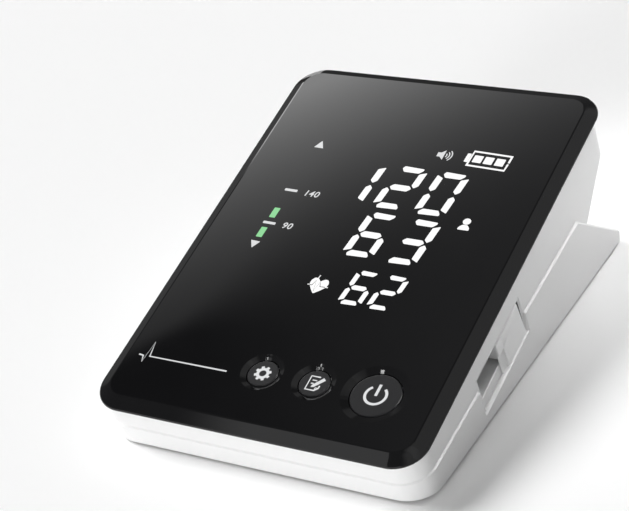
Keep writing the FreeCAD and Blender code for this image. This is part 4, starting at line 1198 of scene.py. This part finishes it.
    def hang_glint(self, dish: Dish) -> None:
        """Hangs a small lit bar that a button's dish mirrors beside the cap.

        Args:
            dish: the dish.
        """
        slope = math.atan2(self.dish_depth, dish.width)
        reach = dish.radius + self.glint_offset
        lift = (self.glint_offset * math.tan(slope) - self.dish_depth) * MM
        turn = math.radians(dish.glint_at)
        spot = FACE.matrix(dish.x + reach * math.cos(turn), ButtonIcons.run + reach * math.sin(turn), lift)
        point, face = spot.to_translation(), spot.to_3x3()
        ray = (point - self.position).normalized()

        def mirrored(angle: float) -> Vector:
            """The way the dish sends the view at an angle round it."""
            inward = (-math.sin(slope) * math.cos(angle), -math.sin(slope) * math.sin(angle), math.cos(slope))
            return ray.reflect(face @ Vector(inward))

        half_turn = self.glint_width / 2 / (reach * MM)
        beam = mirrored(turn)
        long = (mirrored(turn + half_turn) - mirrored(turn - half_turn)) * (self.glint_distance / 2)
        across = beam.cross(long).normalized()
        uphill = face @ Vector((math.cos(slope) * math.cos(turn), math.cos(slope) * math.sin(turn), math.sin(slope)))
        short = across * (abs(uphill.dot(across)) * self.glint_half)
        place = Matrix((long, short, beam)).transposed().to_4x4()
        place.translation = point + beam * self.glint_distance
        self.light_card(self.add_prop(dish.name, 1.0, place), lambda book: self.glint_strength)

    @staticmethod
    def light_card(card: bpy.types.Object, glow: Callable[[NodeBook], Operand]) -> None:
        """Makes a card a lamp that only polished faces see.

        Args:
            card: the card.
            glow: gives the card's strength.
        """
        card.visible_camera = card.visible_diffuse = card.visible_shadow = card.visible_transmission = False
        material = bpy.data.materials.new(card.name)
        material.use_nodes = True
        book = NodeBook(material.node_tree)
        light = book.add("Emission", {"Color": (1.0, 1.0, 1.0, 1.0), "Strength": glow(book)})
        book.add("OutputMaterial", {"Surface": light.outputs[0]})
        card.data.materials.append(material)

    @staticmethod
    def add_prop(name: str, half: float, place: Matrix = Matrix()) -> bpy.types.Object:
        """Adds a flat sheet that stands round the object.

        Args:
            name: its name.
            half: half its size.
            place: where it goes.

        Returns:
            The sheet.
        """
        mesh = bmesh.new()
        bmesh.ops.create_grid(mesh, x_segments=1, y_segments=1, size=half, matrix=place)
        prop = add_object(name, mesh)
        return prop

    def panel_glow(self, book: NodeBook, across: Signal, rise: Signal) -> Signal:
        """The light in the panel: it falls off to the front and the right and ends at a slanting edge.

        Args:
            book: the card's node tree.
            across: the point across the picture.
            rise: the point up the picture.

        Returns:
            The card's strength.
        """
        fade = math.e ** (rise * (1 / self.panel_fall[1]) - across * (1 / self.panel_fall[0]))
        levels = {0: fade * self.panel_level, 1: self.panel_most}
        soft = book.signal("Math", levels, operation="MINIMUM")
        blur = book.step(across, -150.0, 60.0) * self.edge_blur
        edge = book.step(rise - across * self.edge_slant, -12.0 - blur, 8.0 + blur)
        return soft * edge + book.step(across, -170.0, 220.0) * self.panel_haze

    def rim_glow(self, book: NodeBook, across: Signal, rise: Signal) -> Signal:
        """The light in the panel's front bevel: dark at its left end."""
        return self.rim_dark + book.step(across, -160.0, -55.0) * self.rim_level


def dress_nodes() -> None:
    """Gives every solid its finish."""
    for name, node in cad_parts.items():
        node.data.materials.clear()
        node.data.materials.append(NODE_FINISHES[name].material())
        LOG.info("%s: %s", name, NODE_FINISHES[name].name)


def main() -> None:
    """Builds the looks in order."""
    logging.basicConfig(level=logging.INFO, format="%(message)s")
    bpy.context.scene.view_settings.view_transform = "Standard"
    dress_nodes()
    EasedSolids().build()
    CoverGapShadow().build()
    Display().build()
    ButtonIcons().build()
    Studio().build()


if __name__ == "__main__":
    main()
